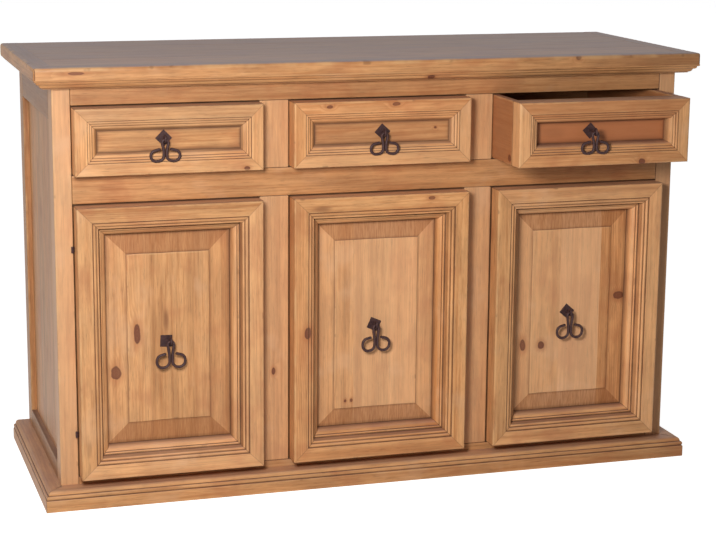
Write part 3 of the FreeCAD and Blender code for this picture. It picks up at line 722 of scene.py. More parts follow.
def add_frame(timber, draw, low, high, outline, looks, gap=0.12):
    """Four mitred members: left, right, bottom, top. looks gives each its board's marks."""
    front = low.y
    width = high.x - low.x
    height = high.z - low.z
    for side, look in zip(("left", "right", "bottom", "top"), looks):
        upright = side in ("left", "right")
        length = height if upright else width
        if upright:
            sign = 1 if side == "left" else -1
            edge = low.x if side == "left" else high.x
            middle = Vector((edge, front, (low.z + high.z) / 2))

            def place(s, u, d, edge=edge, sign=sign):
                return Vector((edge + sign * u, front + d, low.z + s))
        else:
            sign = 1 if side == "bottom" else -1
            edge = low.z if side == "bottom" else high.z
            middle = Vector(((low.x + high.x) / 2, front, edge))

            def place(s, u, d, edge=edge, sign=sign):
                return Vector((low.x + s, front + d, edge + sign * u))
        board = Board(draw, middle, Z_AXIS if upright else X_AXIS, FRONT, **look)
        add_sweep(timber, draw, outline, place, lambda u, d: u + gap, lambda u, d, n=length: n - u - gap,
                  board, uneven=0.3)


def add_panel(timber, draw, low, high, loops, back, seams, along, looks, wavy=None):
    """A panel of glued boards. loops are rectangles, each further in: inset, y, grime with painted shade, wear, and
    end grain of the two bevels that cross the grain between it and the next."""
    shape = bmesh.new()
    grime_and_shade_layer = shape.verts.layers.float.new("grime")
    wear_layer = shape.verts.layers.float.new("wear")
    end_layer = shape.faces.layers.float.new("end_cut")

    def rectangle(inset, y, grime, wear):
        corners = []
        for x, z in ((low.x + inset, low.z + inset), (high.x - inset, low.z + inset),
                     (high.x - inset, high.z - inset), (low.x + inset, high.z - inset)):
            corner = shape.verts.new((x, y, z))
            corner[grime_and_shade_layer] = grime
            corner[wear_layer] = wear
            corners.append(corner)
        return corners

    rear = rectangle(0.0, back, 0.0, 0.0)
    shape.faces.new(rear)
    outer = rear
    cross = (0, 2) if along == Z_AXIS else (1, 3)
    end_here = 0.0
    for inset, y, grime, wear, end_next in loops:
        inner = rectangle(inset, y, grime, wear)
        for side in range(4):
            after = (side + 1) % 4
            face = shape.faces.new((outer[side], outer[after], inner[after], inner[side]))
            face[end_layer] = end_here if side in cross else 0.0
        outer = inner
        end_here = end_next
    shape.faces.new(outer)
    for axis, start, stop in ((X_AXIS, low.x, high.x), (Z_AXIS, low.z, high.z)):
        count = round((stop - start) / PANEL_PITCH)
        for step in range(1, count):
            geometry = shape.verts[:] + shape.edges[:] + shape.faces[:]
            bmesh.ops.bisect_plane(shape, geom=geometry, plane_no=axis,
                                   plane_co=axis * (start + (stop - start) * step / count))
    if wavy:
        inset, size = wavy
        for vert in shape.verts:
            sides = ((vert.co.x - low.x, X_AXIS), (high.x - vert.co.x, -X_AXIS),
                     (vert.co.z - low.z, Z_AXIS), (high.z - vert.co.z, -Z_AXIS))
            nearest, inward = min(sides, key=lambda side: side[0])
            if abs(nearest - inset) < 5.0 and vert.co.y < back - 0.1:
                vert.co += inward * size * noise.noise(vert.co / 38.0)
    split_axis = X_AXIS if along == Z_AXIS else Z_AXIS
    edges = [-1e4] + list(seams) + [1e4]
    for number, look in enumerate(looks):
        part = shape.copy()
        for edge, direction in ((edges[number], -1), (edges[number + 1], 1)):
            if abs(edge) < 9e3:
                geometry = part.verts[:] + part.edges[:] + part.faces[:]
                cut = bmesh.ops.bisect_plane(part, geom=geometry, plane_no=split_axis * direction,
                                             plane_co=split_axis * edge, clear_outer=True)
                rim = [item for item in cut["geom_cut"] if isinstance(item, bmesh.types.BMEdge)]
                bmesh.ops.edgeloop_fill(part, edges=rim)
        part.verts.index_update()
        grime = part.verts.layers.float["grime"]
        wear = part.verts.layers.float["wear"]
        ends = part.faces.layers.float["end_cut"]
        middle = (low + high) / 2
        board = Board(draw, middle + split_axis * draw.uniform(-30, 30), along, FRONT, **look)
        timber.add(board, [vert.co.copy() for vert in part.verts],
                   [[vert.index for vert in face.verts] for face in part.faces],
                   [vert[grime] for vert in part.verts], [vert[wear] for vert in part.verts],
                   [index for index, face in enumerate(part.faces) if face[ends] > 0.5])
        part.free()
    shape.free()


# Iron
def swept_tube(path, radii, sides=14):
    """A closed round bar along points, with the radius at each."""
    rings = []
    turn = None
    for index, point in enumerate(path):
        ahead = path[min(index + 1, len(path) - 1)] - path[max(index - 1, 0)]
        ahead.normalize()
        if turn is None:
            turn = ahead.orthogonal().normalized()
        turn = (turn - ahead * turn.dot(ahead)).normalized()
        other = ahead.cross(turn)
        ring = []
        for step in range(sides):
            angle = math.tau * step / sides
            ring.append(point + (turn * math.cos(angle) + other * math.sin(angle)) * radii[index])
        rings.append(ring)
    return loft(rings)


def rounded_ends(path, radius, wobble, seed):
    """Radii of a hammered bar, with its two ends rounded over."""
    travelled = [0.0]
    for one, two in zip(path, path[1:]):
        travelled.append(travelled[-1] + (two - one).length)
    total = travelled[-1]
    radii = []
    for distance in travelled:
        from_end = min(distance, total - distance) / radius
        dome = math.sqrt(max(0.0, 1 - (1 - min(1.0, from_end)) ** 2))
        hammered = 1 - wobble * (0.5 + 0.5 * noise.noise(Vector((seed, distance / 6.0, 0.0))))
        radii.append(max(0.08, dome) * radius * hammered)
    return radii


def bent_path(points, bend, step=1.5):
    """Straight runs joined by arcs, as points."""
    path = [points[0]]
    for before, corner, after in zip(points, points[1:], points[2:]):
        into = (corner - before).normalized()
        out = (after - corner).normalized()
        turn = into.angle(out)
        setback = bend * math.tan(turn / 2)
        centre = corner + (out - into).normalized() * (bend / math.cos(turn / 2))
        start = corner - into * setback
        axis = into.cross(out).normalized()
        path.append(start)
        count = max(3, round(bend * turn / step))
        for number in range(1, count + 1):
            path.append(centre + Matrix.Rotation(turn * number / count, 3, axis) @ (start - centre))
    path.append(points[-1])
    return path


def filled_path(path, step=2.0):
    """More points along the long runs of a path."""
    filled = [path[0]]
    for one, two in zip(path, path[1:]):
        count = max(1, round((two - one).length / step))
        filled += [one.lerp(two, number / count) for number in range(1, count + 1)]
    return filled


def bail_path(kind):
    """The bent wire of a pull, from one curled tip over the hairpin to the other."""
    drop = BAIL_DROPS[kind]
    loop_top = BAIL_LOOP_RISES[kind] - drop
    tip_x = BAIL_FOOT + 2 * BAIL_WIRE
    tip_z = loop_top + BAIL_TIP_RISE
    right = bent_path([
        Vector((BAIL_HALF, 0, -BAIL_HALF)), Vector((BAIL_FOOT, 0, -drop * BAIL_PINCH_SHARE)),
        Vector((BAIL_FOOT, 0, -drop)), Vector((BAIL_REACH, 0, -drop - BAIL_WIRE)),
        Vector((BAIL_REACH, 0, loop_top)), Vector((tip_x, 0, tip_z)),
    ], BAIL_BENDS[kind])
    left = [Vector((-point.x, 0, point.z)) for point in reversed(right)]
    hairpin = []
    for number in range(1, 12):
        angle = math.pi * (1 - number / 12)
        hairpin.append(Vector((BAIL_HALF * math.cos(angle), 0, -BAIL_HALF + BAIL_HALF * math.sin(angle))))
    return filled_path(left + hairpin + right)


class Metalwork:
    """Iron pieces gathered into one mesh."""

    def __init__(self):
        self.points = []
        self.faces = []

    def add(self, points, faces):
        start = len(self.points)
        self.points += [tuple(point * MM) for point in points]
        self.faces += [tuple(start + index for index in face) for face in faces]

    def make(self, name, material):
        mesh = bpy.data.meshes.new(name)
        mesh.from_pydata(self.points, [], self.faces)
        return finished(name, mesh, material, 40.0)


def add_plate(iron, middle, turn, seed):
    """A square plate with hammered faces and uneven edges."""
    half = PLATE_SIZE / 2
    count = 10
    turned = Matrix.Rotation(math.radians(turn), 3, "Y")
    edge = 0.45
    rings = []
    for inset, depth in ((0.0, 0.0), (0.0, PLATE_THICKNESS - edge), (edge, PLATE_THICKNESS)):
        ring = []
        for side in range(4):
            for step in range(count):
                share = step / count
                corner = Vector((half, 0, half)) * (1 - share) + Vector((-half, 0, half)) * share
                point = Matrix.Rotation(-math.pi / 2 * side, 3, "Y") @ corner
                shrink = (half - inset - 0.5 * abs(noise.noise((point + Vector((seed, 0, 0))) / 5.0))) / half
                ring.append(Vector((point.x * shrink, -depth, point.z * shrink)))
        rings.append(ring)
    for share in (0.7, 0.4, 0.12):
        ring = []
        for point in rings[2]:
            dent = 0.28 * noise.noise(Vector((point.x * share / 4.0, seed, point.z * share / 4.0)))
            ring.append(Vector((point.x * share, -PLATE_THICKNESS + max(0.0, dent), point.z * share)))
        rings.append(ring)
    points, faces = loft(rings)
    iron.add([turned @ point + middle for point in points], faces)


def add_bar(iron, start, end, radius, sides=16, soft=0.3):
    """A short round bar with softened ends."""
    along = (end - start).normalized()
    length = (end - start).length
    path = [start, start + along * soft, start + along * (length - soft), end]
    radii = [radius - soft, radius, radius, radius - soft]
    iron.add(*swept_tube(path, radii, sides))


def add_staple(iron, ring_centre, plate_front, panel_back, seed):
    """The ring that holds the bail, its shank, its shoulder, and the legs bent over behind the panel."""
    points = []
    steps = 44
    path = []
    for number in range(steps):
        angle = math.tau * number / steps
        path.append(ring_centre + Vector((0, math.cos(angle), math.sin(angle))) * RING_RADIUS)
    sides = 12
    for number, point in enumerate(path):
        outward = (point - ring_centre).normalized()
        radius = RING_WIRE * (1 - 0.10 * (0.5 + 0.5 * noise.noise(Vector((seed, number / 4.0, 3.0)))))
        for side in range(sides):
            angle = math.tau * side / sides
            points.append(point + (outward * math.cos(angle) + X_AXIS * math.sin(angle)) * radius)
    faces = []
    for number in range(steps):
        after = (number + 1) % steps
        for side in range(sides):
            beside = (side + 1) % sides
            faces.append((number * sides + side, number * sides + beside,
                          after * sides + beside, after * sides + side))
    iron.add(points, faces)
    shank_start = ring_centre + Y_AXIS * (RING_RADIUS - 0.5)
    shank_end = Vector((ring_centre.x, panel_back + LEG_THICKNESS - 0.2, ring_centre.z))
    add_bar(iron, shank_start, shank_end, RING_WIRE)
    front = Vector((ring_centre.x, plate_front - SHOULDER_THICKNESS, ring_centre.z))
    add_bar(iron, front, front + Y_AXIS * SHOULDER_THICKNESS, SHOULDER_RADIUS, 20, 0.5)
    half_width = LEG_WIDTH / 2
    rings = []
    taper = ((-LEG_LENGTH, 0.45), (-LEG_LENGTH + 4, 0.9), (0, 1.0), (LEG_LENGTH - 4, 0.9), (LEG_LENGTH, 0.45))
    for x, share in taper:
        y0, y1 = panel_back, panel_back + LEG_THICKNESS * share
        z0, z1 = ring_centre.z - half_width * share, ring_centre.z + half_width * share
        corners = ((y0, z0), (y1, z0 + 0.5), (y1, z1 - 0.5), (y0, z1))
        rings.append([Vector((ring_centre.x + x, y, z)) for y, z in corners])
    iron.add(*loft(rings))


def add_pull(kind, number, iron_finish):
    """Plate, staple and bail of one pull, placed by its solids."""
    name = kind + "_" + str(number)
    bail_low, bail_high = solid_box(name + "_bail")
    staple_low, staple_high = solid_box(name + "_staple")
    ring_y = (bail_low.y + bail_high.y) / 2
    ring_x = (bail_low.x + bail_high.x) / 2
    axis_z = bail_high.z - BAIL_WIRE
    ring_z = axis_z + (RING_RADIUS - RING_WIRE) - BAIL_WIRE - BAIL_CLEARANCE
    seed = number * 7.0 + (40.0 if kind == "door" else 0.0)
    panel_back = staple_high.y - LEG_THICKNESS
    thickness = PANEL_THICKNESS if kind == "drawer" else PANEL_THICKNESS + DOOR_BEVEL_RISE + DOOR_FIELD_STEP
    panel_front = panel_back - thickness
    side_share, rise_share = {"door_1": (-0.24, -0.16), "door_2": (0.04, -0.12), "door_3": (0.0, -0.04),
                              "drawer_3": (0.06, -0.06)}.get(name, (0.0, 0.0))
    iron = Metalwork()
    plate_middle = Vector((ring_x + side_share * PLATE_SIZE, panel_front, ring_z + rise_share * PLATE_SIZE))
    add_plate(iron, plate_middle, PLATE_TURNS[kind][number - 1], seed)
    add_staple(iron, Vector((ring_x, ring_y, ring_z)), panel_front - PLATE_THICKNESS, panel_back, seed)
    staple = iron.make("iron_plate_" + name, iron_finish)
    placed(staple, name, "forged_iron", name + "_staple")
    wire = Metalwork()
    path = [point + Vector((ring_x, ring_y, axis_z)) for point in bail_path(kind)]
    wire.add(*swept_tube(path, rounded_ends(path, BAIL_WIRE, 0.05, seed), 16))
    bail = wire.make("iron_bail_" + name, iron_finish)
    placed(bail, name + "_pull", "forged_iron", name + "_bail")


# Settings that a user would change
class SideboardFinish(bpy.types.PropertyGroup):
    """Colours and grain of the wood and iron."""

    early_wood: FloatVectorProperty(
        name="Early wood", description="The pale wood between the rings", subtype="COLOR", min=0, max=1,
        default=(0.70, 0.355, 0.145))
    late_wood: FloatVectorProperty(
        name="Late wood", description="The darker lines of the rings", subtype="COLOR", min=0, max=1,
        default=(0.42, 0.158, 0.046))
    red_wood: FloatVectorProperty(
        name="Red wood", description="Reddish patches in the boards", subtype="COLOR", min=0, max=1,
        default=(0.44, 0.145, 0.052))
    pale_wood: FloatVectorProperty(
        name="Pale wood", description="Pale, pinkish boards and patches", subtype="COLOR", min=0, max=1,
        default=(0.74, 0.430, 0.240))
    knot: FloatVectorProperty(
        name="Knot", description="The middle of a knot", subtype="COLOR", min=0, max=1,
        default=(0.135, 0.034, 0.014))
    knot_edge: FloatVectorProperty(
        name="Knot edge", description="The dark bark round a knot", subtype="COLOR", min=0, max=1,
        default=(0.085, 0.022, 0.012))
    knot_halo: FloatVectorProperty(
        name="Knot halo", description="The warm wood round a knot", subtype="COLOR", min=0, max=1,
        default=(0.38, 0.120, 0.038))
    stain: FloatVectorProperty(
        name="Stain", description="Dark stains in the wax", subtype="COLOR", min=0, max=1,
        default=(0.19, 0.070, 0.026))
    # Grime colour, also used for painted shade in hollows, gaps and seams
    grime: FloatVectorProperty(
        name="Grime", description="Dark wax in the hollows", subtype="COLOR", min=0, max=1,
        default=(0.062, 0.020, 0.009))
    worn: FloatVectorProperty(
        name="Worn wood", description="Pale wood on rubbed edges", subtype="COLOR", min=0, max=1,
        default=(0.74, 0.45, 0.210))
    end_grain: FloatVectorProperty(
        name="End grain", description="Wood cut across its fibres", subtype="COLOR", min=0, max=1,
        default=(0.31, 0.108, 0.032))
    # Grey cast of level faces: dust, and a painted sheen
    dust: FloatVectorProperty(
        name="Dull top", description="The greyed wax of the top", subtype="COLOR", min=0, max=1,
        default=(0.33, 0.258, 0.262))
    iron: FloatVectorProperty(
        name="Iron", description="Bare forged iron", subtype="COLOR", min=0, max=1,
        default=(0.046, 0.021, 0.021))
    iron_rust: FloatVectorProperty(
        name="Iron skin", description="The brown skin on the iron", subtype="COLOR", min=0, max=1,
        default=(0.088, 0.034, 0.026))
    steel: FloatVectorProperty(
        name="Steel", description="The door catches", subtype="COLOR", min=0, max=1,
        default=(0.55, 0.54, 0.52))
    ring_spacing: FloatProperty(
        name="Ring spacing", description="Distance between two growth rings", subtype="DISTANCE", unit="LENGTH",
        default=0.0042, min=0.001, max=0.02)


class SideboardInside(bpy.types.PropertyGroup):
    """Colours of the unwaxed wood inside and behind."""

    early_wood: FloatVectorProperty(
        name="Early wood", description="The pale wood between the rings", subtype="COLOR", min=0, max=1,
        default=(0.62, 0.40, 0.225))
    late_wood: FloatVectorProperty(
        name="Late wood", description="The darker lines of the rings", subtype="COLOR", min=0, max=1,
        default=(0.43, 0.225, 0.10))
    red_wood: FloatVectorProperty(
        name="Red wood", description="Reddish patches in the boards", subtype="COLOR", min=0, max=1,
        default=(0.42, 0.20, 0.10))
    ring_spacing: FloatProperty(
        name="Ring spacing", description="Distance between two growth rings", subtype="DISTANCE", unit="LENGTH",
        default=0.0050, min=0.001, max=0.02)


class SideboardSizes(bpy.types.PropertyGroup):
    """Sizes of the joinery and of the things that repeat."""

    edge_round: FloatProperty(
        name="Edge rounding", description="How far the edges of the boards are rubbed round",
        subtype="DISTANCE", unit="LENGTH", default=0.0016, min=0.0002, max=0.004)
    uneven: FloatProperty(
        name="Unevenness", description="How uneven the hand-planed faces are",
        subtype="DISTANCE", unit="LENGTH", default=0.00035, min=0.0, max=0.001)
    board_gap: FloatProperty(
        name="Gap between back boards", description="Gap between two boards of the back",
        subtype="DISTANCE", unit="LENGTH", default=0.0014, min=0.0, max=0.005)
    nail_radius: FloatProperty(
        name="Nail head", description="Radius of a nail's head", subtype="DISTANCE", unit="LENGTH",
        default=0.0028, min=0.001, max=0.006)
    seed: IntProperty(
        name="Seed", description="Chooses how the boards were cut from the log", default=11, min=1, max=999)


def sizes():
    return bpy.context.scene.sideboard_sizes


def finish_named(name):
    """The one material of that name, made when it is first asked for."""
    if name + "_finish" in bpy.data.materials:
        return bpy.data.materials[name + "_finish"]
    colours = bpy.context.scene.sideboard_finish
    inside = bpy.context.scene.sideboard_inside
    if name == "waxed_pine":
        return pine_material(name, colours, marked=True, coat=0.06)
    if name == "forged_iron":
        return iron_material(colours)
    if name == "catch_steel":
        return steel_material(colours)
    return pine_material(name, inside, name[-1] if name[-2] == "_" else None)


def draws(name):
    """Fixed random numbers for one piece."""
    return random.Random(name + str(sizes().seed))


def edge_round():
    return sizes().edge_round / MM


def uneven():
    return sizes().uneven / MM


class SIDEBOARD_OT_top(bpy.types.Operator):
    """Top of four planks with a border on three sides"""

    bl_idname = "sideboard.top"
    bl_label = "Top"

    def execute(self, context):
        wax = finish_named("waxed_pine")
        draw = draws("top_planks")
        planks = Timber()
        depth = (BACK_Y - FACE_Y) / PLANK_COUNT
        for number in range(PLANK_COUNT):
            low = Vector((-HALF_WIDTH, FACE_Y + number * depth, CARCASS_HEIGHT))
            high = Vector((HALF_WIDTH, FACE_Y + (number + 1) * depth, TOP_HEIGHT))
            # Dark seams along the plank sides; level faces get dust with a painted sheen
            add_plank(planks, draw, low, high, X_AXIS, Z_AXIS, 0.9, uneven(), sunk=(0.45, 0.45), worn_edge=0.0,
                      dust=draw.uniform(0.82, 1.0))
        placed(planks.make("top_planks_waxed", wax), "carcass", "waxed_pine", "top_planks")
        self.add_border(wax)
        return {"FINISHED"}

    def add_border(self, wax):
        """A front board and two end boards, mitred, with round edges and round corners."""
        draw = draws("top_border")
        border = Timber()
        edge, corner = TOP_OVERHANG, 5.0
        rounding = 4.0
        thick = TOP_HEIGHT - CARCASS_HEIGHT
        points = [(0.0, 0.0), (edge, 0.0), (edge, thick), (0.0, thick)]
        outline = softened(points, {1: 0.5, 2: rounding * 1.7, 3: 0.8, 0: 0.8}, guard=2.5)
        outline = [(p, z, grime if p < 5 else 0.0, wear if z > 5 and p > 5 else 0.0)
                   for p, z, grime, wear in outline]

        def front_place(s, p, z):
            swell = max(0.0, abs(s) - (HALF_WIDTH + edge - corner)) / corner
            shrink = corner * (1 - math.sqrt(max(0.0, 1 - swell * swell))) if p > edge - corner else 0.0
            return Vector((s, FACE_Y - p + shrink + wave(3.0, s, 0.35) * (p > 20), CARCASS_HEIGHT + z))

        streak = ((-640.0, FACE_Y - edge, 903.0), 20.0, 3.5, 0.8)
        small = ((436.0, FACE_Y - edge, 911.0), 7.0, 5.0, 1.0)
        dark_end = ((690.0, FACE_Y - edge, 903.0), 260.0, 60.0, 0.58)
        board = Board(draw, (0, FACE_Y - edge, 900), X_AXIS, FRONT, -0.9, 0.08, 1.0,
                      (streak, small), dark_end)
        add_sweep(border, draw, outline, front_place, lambda p, z: -HALF_WIDTH - p + 0.1,
                  lambda p, z: HALF_WIDTH + p - 0.1, board)
        for side in (-1, 1):
            def side_place(s, p, z, side=side):
                near = max(0.0, (FACE_Y - edge + corner) - s) / corner
                shrink = corner * (1 - math.sqrt(max(0.0, 1 - near * near))) if p > edge - corner else 0.0
                return Vector((side * (HALF_WIDTH + p - shrink), s, CARCASS_HEIGHT + z))

            board = Board(draw, (side * HALF_WIDTH, 0, 900), Y_AXIS, Z_AXIS, dust=1.0)
            add_sweep(border, draw, outline, side_place, lambda p, z: FACE_Y - p + 0.1,
                      lambda p, z: BACK_Y - 0.2, board, mitred=(True, False))
        placed(border.make("top_border_waxed", wax), "carcass", "waxed_pine", "top_border")


class SIDEBOARD_OT_mouldings(bpy.types.Operator):
    """Moulding under the top, and the plinth, mitred round the front and both ends"""

    bl_idname = "sideboard.mouldings"
    bl_label = "Mouldings"

    def execute(self, context):
        draw = draws("cornice")
        top = CARCASS_HEIGHT
        points = drawn_outline((0.0, top - CORNICE_HEIGHT), CORNICE_SHARES, TOP_OVERHANG, CORNICE_HEIGHT,
                               0.0, top - CORNICE_HEIGHT)
        points.append((0.0, top))
        knot = ((107.0, FACE_Y - 33.0, 877.0), 9.0, 5.0, 1.0)
        self.add_band("cornice", draw, softened(points, {}, guard=1.8, settled=0.10), TOP_OVERHANG, TOP_OVERHANG,
                      (knot,))
        draw = draws("plinth")
        points = drawn_outline((0.0, 0.0), PLINTH_SHARES, PLINTH_FRONT, PLINTH_HEIGHT)
        points.append((0.0, PLINTH_HEIGHT))
        self.add_band("plinth", draw, softened(points, {}, guard=1.8, settled=0.08), PLINTH_FRONT,
                      PLINTH_SIDE, ())
        return {"FINISHED"}

    def add_band(self, name, draw, outline, front, side, knots):
        """The front length and the two end lengths of one moulding."""
        timber = Timber()
        land = front - side
        board = Board(draw, (0, FACE_Y - front, outline[0][1]), X_AXIS, FRONT, -0.2, 0.05, knots=knots)
        add_sweep(timber, draw, outline, lambda s, p, z: Vector((s, FACE_Y - p, z)),
                  lambda p, z: -HALF_WIDTH - max(0.0, p - land) + 0.1,
                  lambda p, z: HALF_WIDTH + max(0.0, p - land) - 0.1, board)
        for way in (-1, 1):
            board = Board(draw, (way * HALF_WIDTH, 0, outline[0][1]), Y_AXIS, X_AXIS * way)
            add_sweep(timber, draw, outline,
                      lambda s, p, z, way=way: Vector((way * (HALF_WIDTH + max(0.0, p - land)), s, z)),
                      lambda p, z: FACE_Y - max(land, p) + 0.1, lambda p, z: BACK_Y - 0.2, board,
                      mitred=(True, False))
        placed(timber.make(name + "_waxed", finish_named("waxed_pine")), "carcass", "waxed_pine", name)


class SIDEBOARD_OT_carcass(bpy.types.Operator):
    """Posts, front rails, muntins and framed sides"""

    bl_idname = "sideboard.carcass"
    bl_label = "Posts and rails"

    def execute(self, context):
        self.add_posts()
        self.add_front_rails()
        self.add_muntins()
        self.add_sides()
        return {"FINISHED"}

    def add_one(self, name, boxes, along, out, knots=(), stain=None, **looks):
        """One piece of one or more plain boards."""
        draw = draws(name)
        timber = Timber()
        for low, high in boxes:
            add_plank(timber, draw, low, high, along, out, edge_round(), uneven(), knots=knots,
                      stain=stain, **looks)
        placed(timber.make(name + "_waxed", finish_named("waxed_pine")), "carcass", "waxed_pine", name)

    def add_posts(self):
        for side in ("left", "right"):
            # Painted shade on the side of each front post that faces the openings
            sunk = (0.85, 0.0) if side == "left" else (0.0, 0.85)
            self.add_one("front_post_" + side, [solid_box("front_post_" + side)], Z_AXIS, FRONT,
                         tone=-0.5, red=-0.45, sunk=sunk)
            self.add_one("rear_post_" + side, [solid_box("rear_post_" + side)], Z_AXIS, FRONT, tone=-1.6, red=0.1)

    def add_front_rails(self):
        # Painted shade on the rail edges that face the openings
        sunk = {"sunk": (0.85, 0.85), "worn_edge": 0.3}
        self.add_one("top_rail", [solid_box("top_rail")], X_AXIS, FRONT, tone=-1.5, red=0.14, **sunk)
        self.add_one("mid_rail", [solid_box("mid_rail")], X_AXIS, FRONT, tone=-0.9, red=0.08,
                     stain=((-20.0, FACE_Y, 655.0), 130.0, 18.0, 0.35), **sunk)
        self.add_one("bottom_rail", [solid_box("bottom_rail")], X_AXIS, FRONT, tone=-1.3,
                     knots=(((-275.6, FACE_Y, 52.0), 8.0, 5.0, 1.0),), **sunk)

    def add_muntins(self):
        middles = ((OPENING_MIDDLES[0] + OPENING_MIDDLES[1]) / 2, (OPENING_MIDDLES[1] + OPENING_MIDDLES[2]) / 2)
        for name in ("drawer_muntins", "door_muntins"):
            low, high = solid_box(name)
            boxes = []
            for middle in middles:
                boxes.append((Vector((middle - MUNTIN_WIDTH / 2, low.y, low.z)),
                              Vector((middle + MUNTIN_WIDTH / 2, high.y, high.z))))
            knots = (((-227.8, FACE_Y, 256.3), 8.0, 4.5, 1.0),) if name == "door_muntins" else ()
            # Painted shade on the muntin edges that face the openings
            self.add_one(name, boxes, Z_AXIS, FRONT, knots, tone=-0.6, red=-0.35, sunk=(0.85, 0.85),
                         worn_edge=0.3)

    def add_sides(self):
        for side, way in (("left", -1), ("right", 1)):
            low, high = solid_box("side_rails_" + side)
            top_z = CARCASS_HEIGHT - SIDE_TOP_RAIL
            boxes = [(Vector((low.x, low.y, top_z)), Vector((high.x, high.y, CARCASS_HEIGHT))),
                     (Vector((low.x, low.y, SIDE_BOTTOM_RAIL_LIFT)), Vector((high.x, high.y, SIDE_BOTTOM_RAIL_TOP)))]
            # Painted shade on both edges of each side rail, beside the sunk side panel
            self.add_one("side_rails_" + side, boxes, Y_AXIS, X_AXIS * way, tone=-2.7, red=0.1,
                         stain=((way * HALF_WIDTH, 0.0, 850.0), 420.0, 60.0, 0.5), sunk=(0.6, 0.6), worn_edge=0.3)
            low, high = solid_box("side_panel_" + side)
            draw = draws("side_panel_" + side)
            timber = Timber()
            edges = [low.y] + [low.y + (high.y - low.y) * share for share in (0.23, 0.46, 0.71)] + [high.y]
            for one, two in zip(edges, edges[1:]):
                add_plank(timber, draw, (low.x, one, low.z), (high.x, two, high.z), Z_AXIS, X_AXIS * way,
                          0.25, 0.2)
            panel = timber.make("side_panel_" + side + "_waxed", finish_named("waxed_pine"))
            placed(panel, "carcass", "waxed_pine", "side_panel_" + side)


class SIDEBOARD_OT_drawers(bpy.types.Operator):
    """Three drawers: mitred frame, flat panel and box"""

    bl_idname = "sideboard.drawers"
    bl_label = "Drawers"

    def execute(self, context):
        for number in (1, 2, 3):
            self.add_front(number)
            self.add_box(number)
        return {"FINISHED"}

    def add_front(self, number):
        name = "drawer_" + str(number)
        low, high = solid_box(name + "_frame")
        front = low.y
        draw = draws(name)
        outline = frame_outline(DRAWER_BAND, DRAWER_MOULDING, DRAWER_STEPS_DEPTH,
                                DRAWER_MOULDING_DEPTHS[number - 1], DRAWER_SHARES, FRONT_PROUD, DRAWER_TONGUE)
        reddish = {"red": 0.42, "tone": -0.6}
        looks = {
            1: ({"tone": 0.2}, {"tone": 0.1},
                {"knots": (((-294.0, front, 701.0), 7.0, 5.0, 1.0),), "tone": -0.1}, {"tone": -1.2}),
            2: ({"tone": 0.2}, {"tone": 0.1}, {"tone": 0.1},
                {"knots": (((-118.0, front, 821.8), 7.0, 4.0, 0.9), ((27.0, front, 824.0), 9.0, 4.0, 0.8)),
                 "red": 0.3}),
            3: ({"tone": 0.1}, {"tone": 0.2},
                {"knots": (((538.0, front, 701.0), 8.0, 6.0, 1.0),), "red": 0.25, "tone": -0.3}, reddish),
        }[number]
        timber = Timber()
        add_frame(timber, draw, low, high, outline, looks)
        piece = timber.make(name + "_frame_waxed", finish_named("waxed_pine"))
        placed(piece, name, "waxed_pine", name + "_frame")
        low, high = solid_box(name + "_panel")
        surface = low.y
        # The grime values round the panel's edge are painted shade where the frame's moulding shades the panel
        loops = ((0.0, surface, 0.3, 0.0, 0.0), (DRAWER_TONGUE, surface, 0.9, 0.0, 0.0),
                 (DRAWER_TONGUE + 1.5, surface, 0.5, 0.0, 0.0), (DRAWER_TONGUE + 5.0, surface, 0.12, 0.0, 0.0),
                 (DRAWER_TONGUE + 12.0, surface, 0.0, 0.0, 0.0))
        look = {
            1: {"stain": ((-400.0, surface, 740.0), 55.0, 9.0, 0.5), "tone": -0.9, "red": 0.04},
            2: {"knots": (((117.0, surface, 770.7), 3.0, 2.5, 1.0),), "tone": -1.3, "red": 0.26},
            3: {"stain": ((345.0, surface, 765.0), 34.0, 16.0, 0.35), "red": 0.85, "tone": -1.8},
        }[number]
        timber = Timber()
        add_panel(timber, draw, low, high, loops, high.y, (), X_AXIS, (look,))
        piece = timber.make(name + "_panel_waxed", finish_named("waxed_pine"))
        placed(piece, name, "waxed_pine", name + "_panel")

    def add_box(self, number):
        name = "drawer_" + str(number)
        low, high = solid_box(name + "_box")
        draw = draws(name + "_box")
        timber = Timber()
        wall = DRAWER_WALL
        floor_z = low.z + DRAWER_FLOOR_RISE
        reach = wall - DRAWER_GROOVE
        soft = {"radius": 1.2, "uneven": 0.2}
        # The box boards are toned dark: painted shade for the inside of the drawer
        for x0, x1, out in ((low.x, low.x + wall, -X_AXIS), (high.x - wall, high.x, X_AXIS)):
            add_plank(timber, draw, (x0, low.y, low.z), (x1, high.y, high.z), Y_AXIS, out, red=0.55, tone=-3.0,
                      knots=(((x0, low.y + 12.0, low.z + 14.0), 10.0, 7.0, 0.9),), **soft)
        for y0, y1 in ((low.y, low.y + DRAWER_INNER_WALL), (high.y - wall, high.y)):
            add_plank(timber, draw, (low.x + wall, y0, low.z), (high.x - wall, y1, high.z), X_AXIS, FRONT,
                      tone=-2.4, **soft)
        add_plank(timber, draw, (low.x + reach, low.y + DRAWER_INNER_WALL - DRAWER_GROOVE, floor_z),
                  (high.x - reach, high.y - wall + DRAWER_GROOVE, floor_z + DRAWER_FLOOR_THICKNESS),
                  X_AXIS, Z_AXIS, tone=-2.2, **soft)
        placed(timber.make(name + "_box_boards", finish_named("waxed_pine")), name, "waxed_pine", name + "_box")


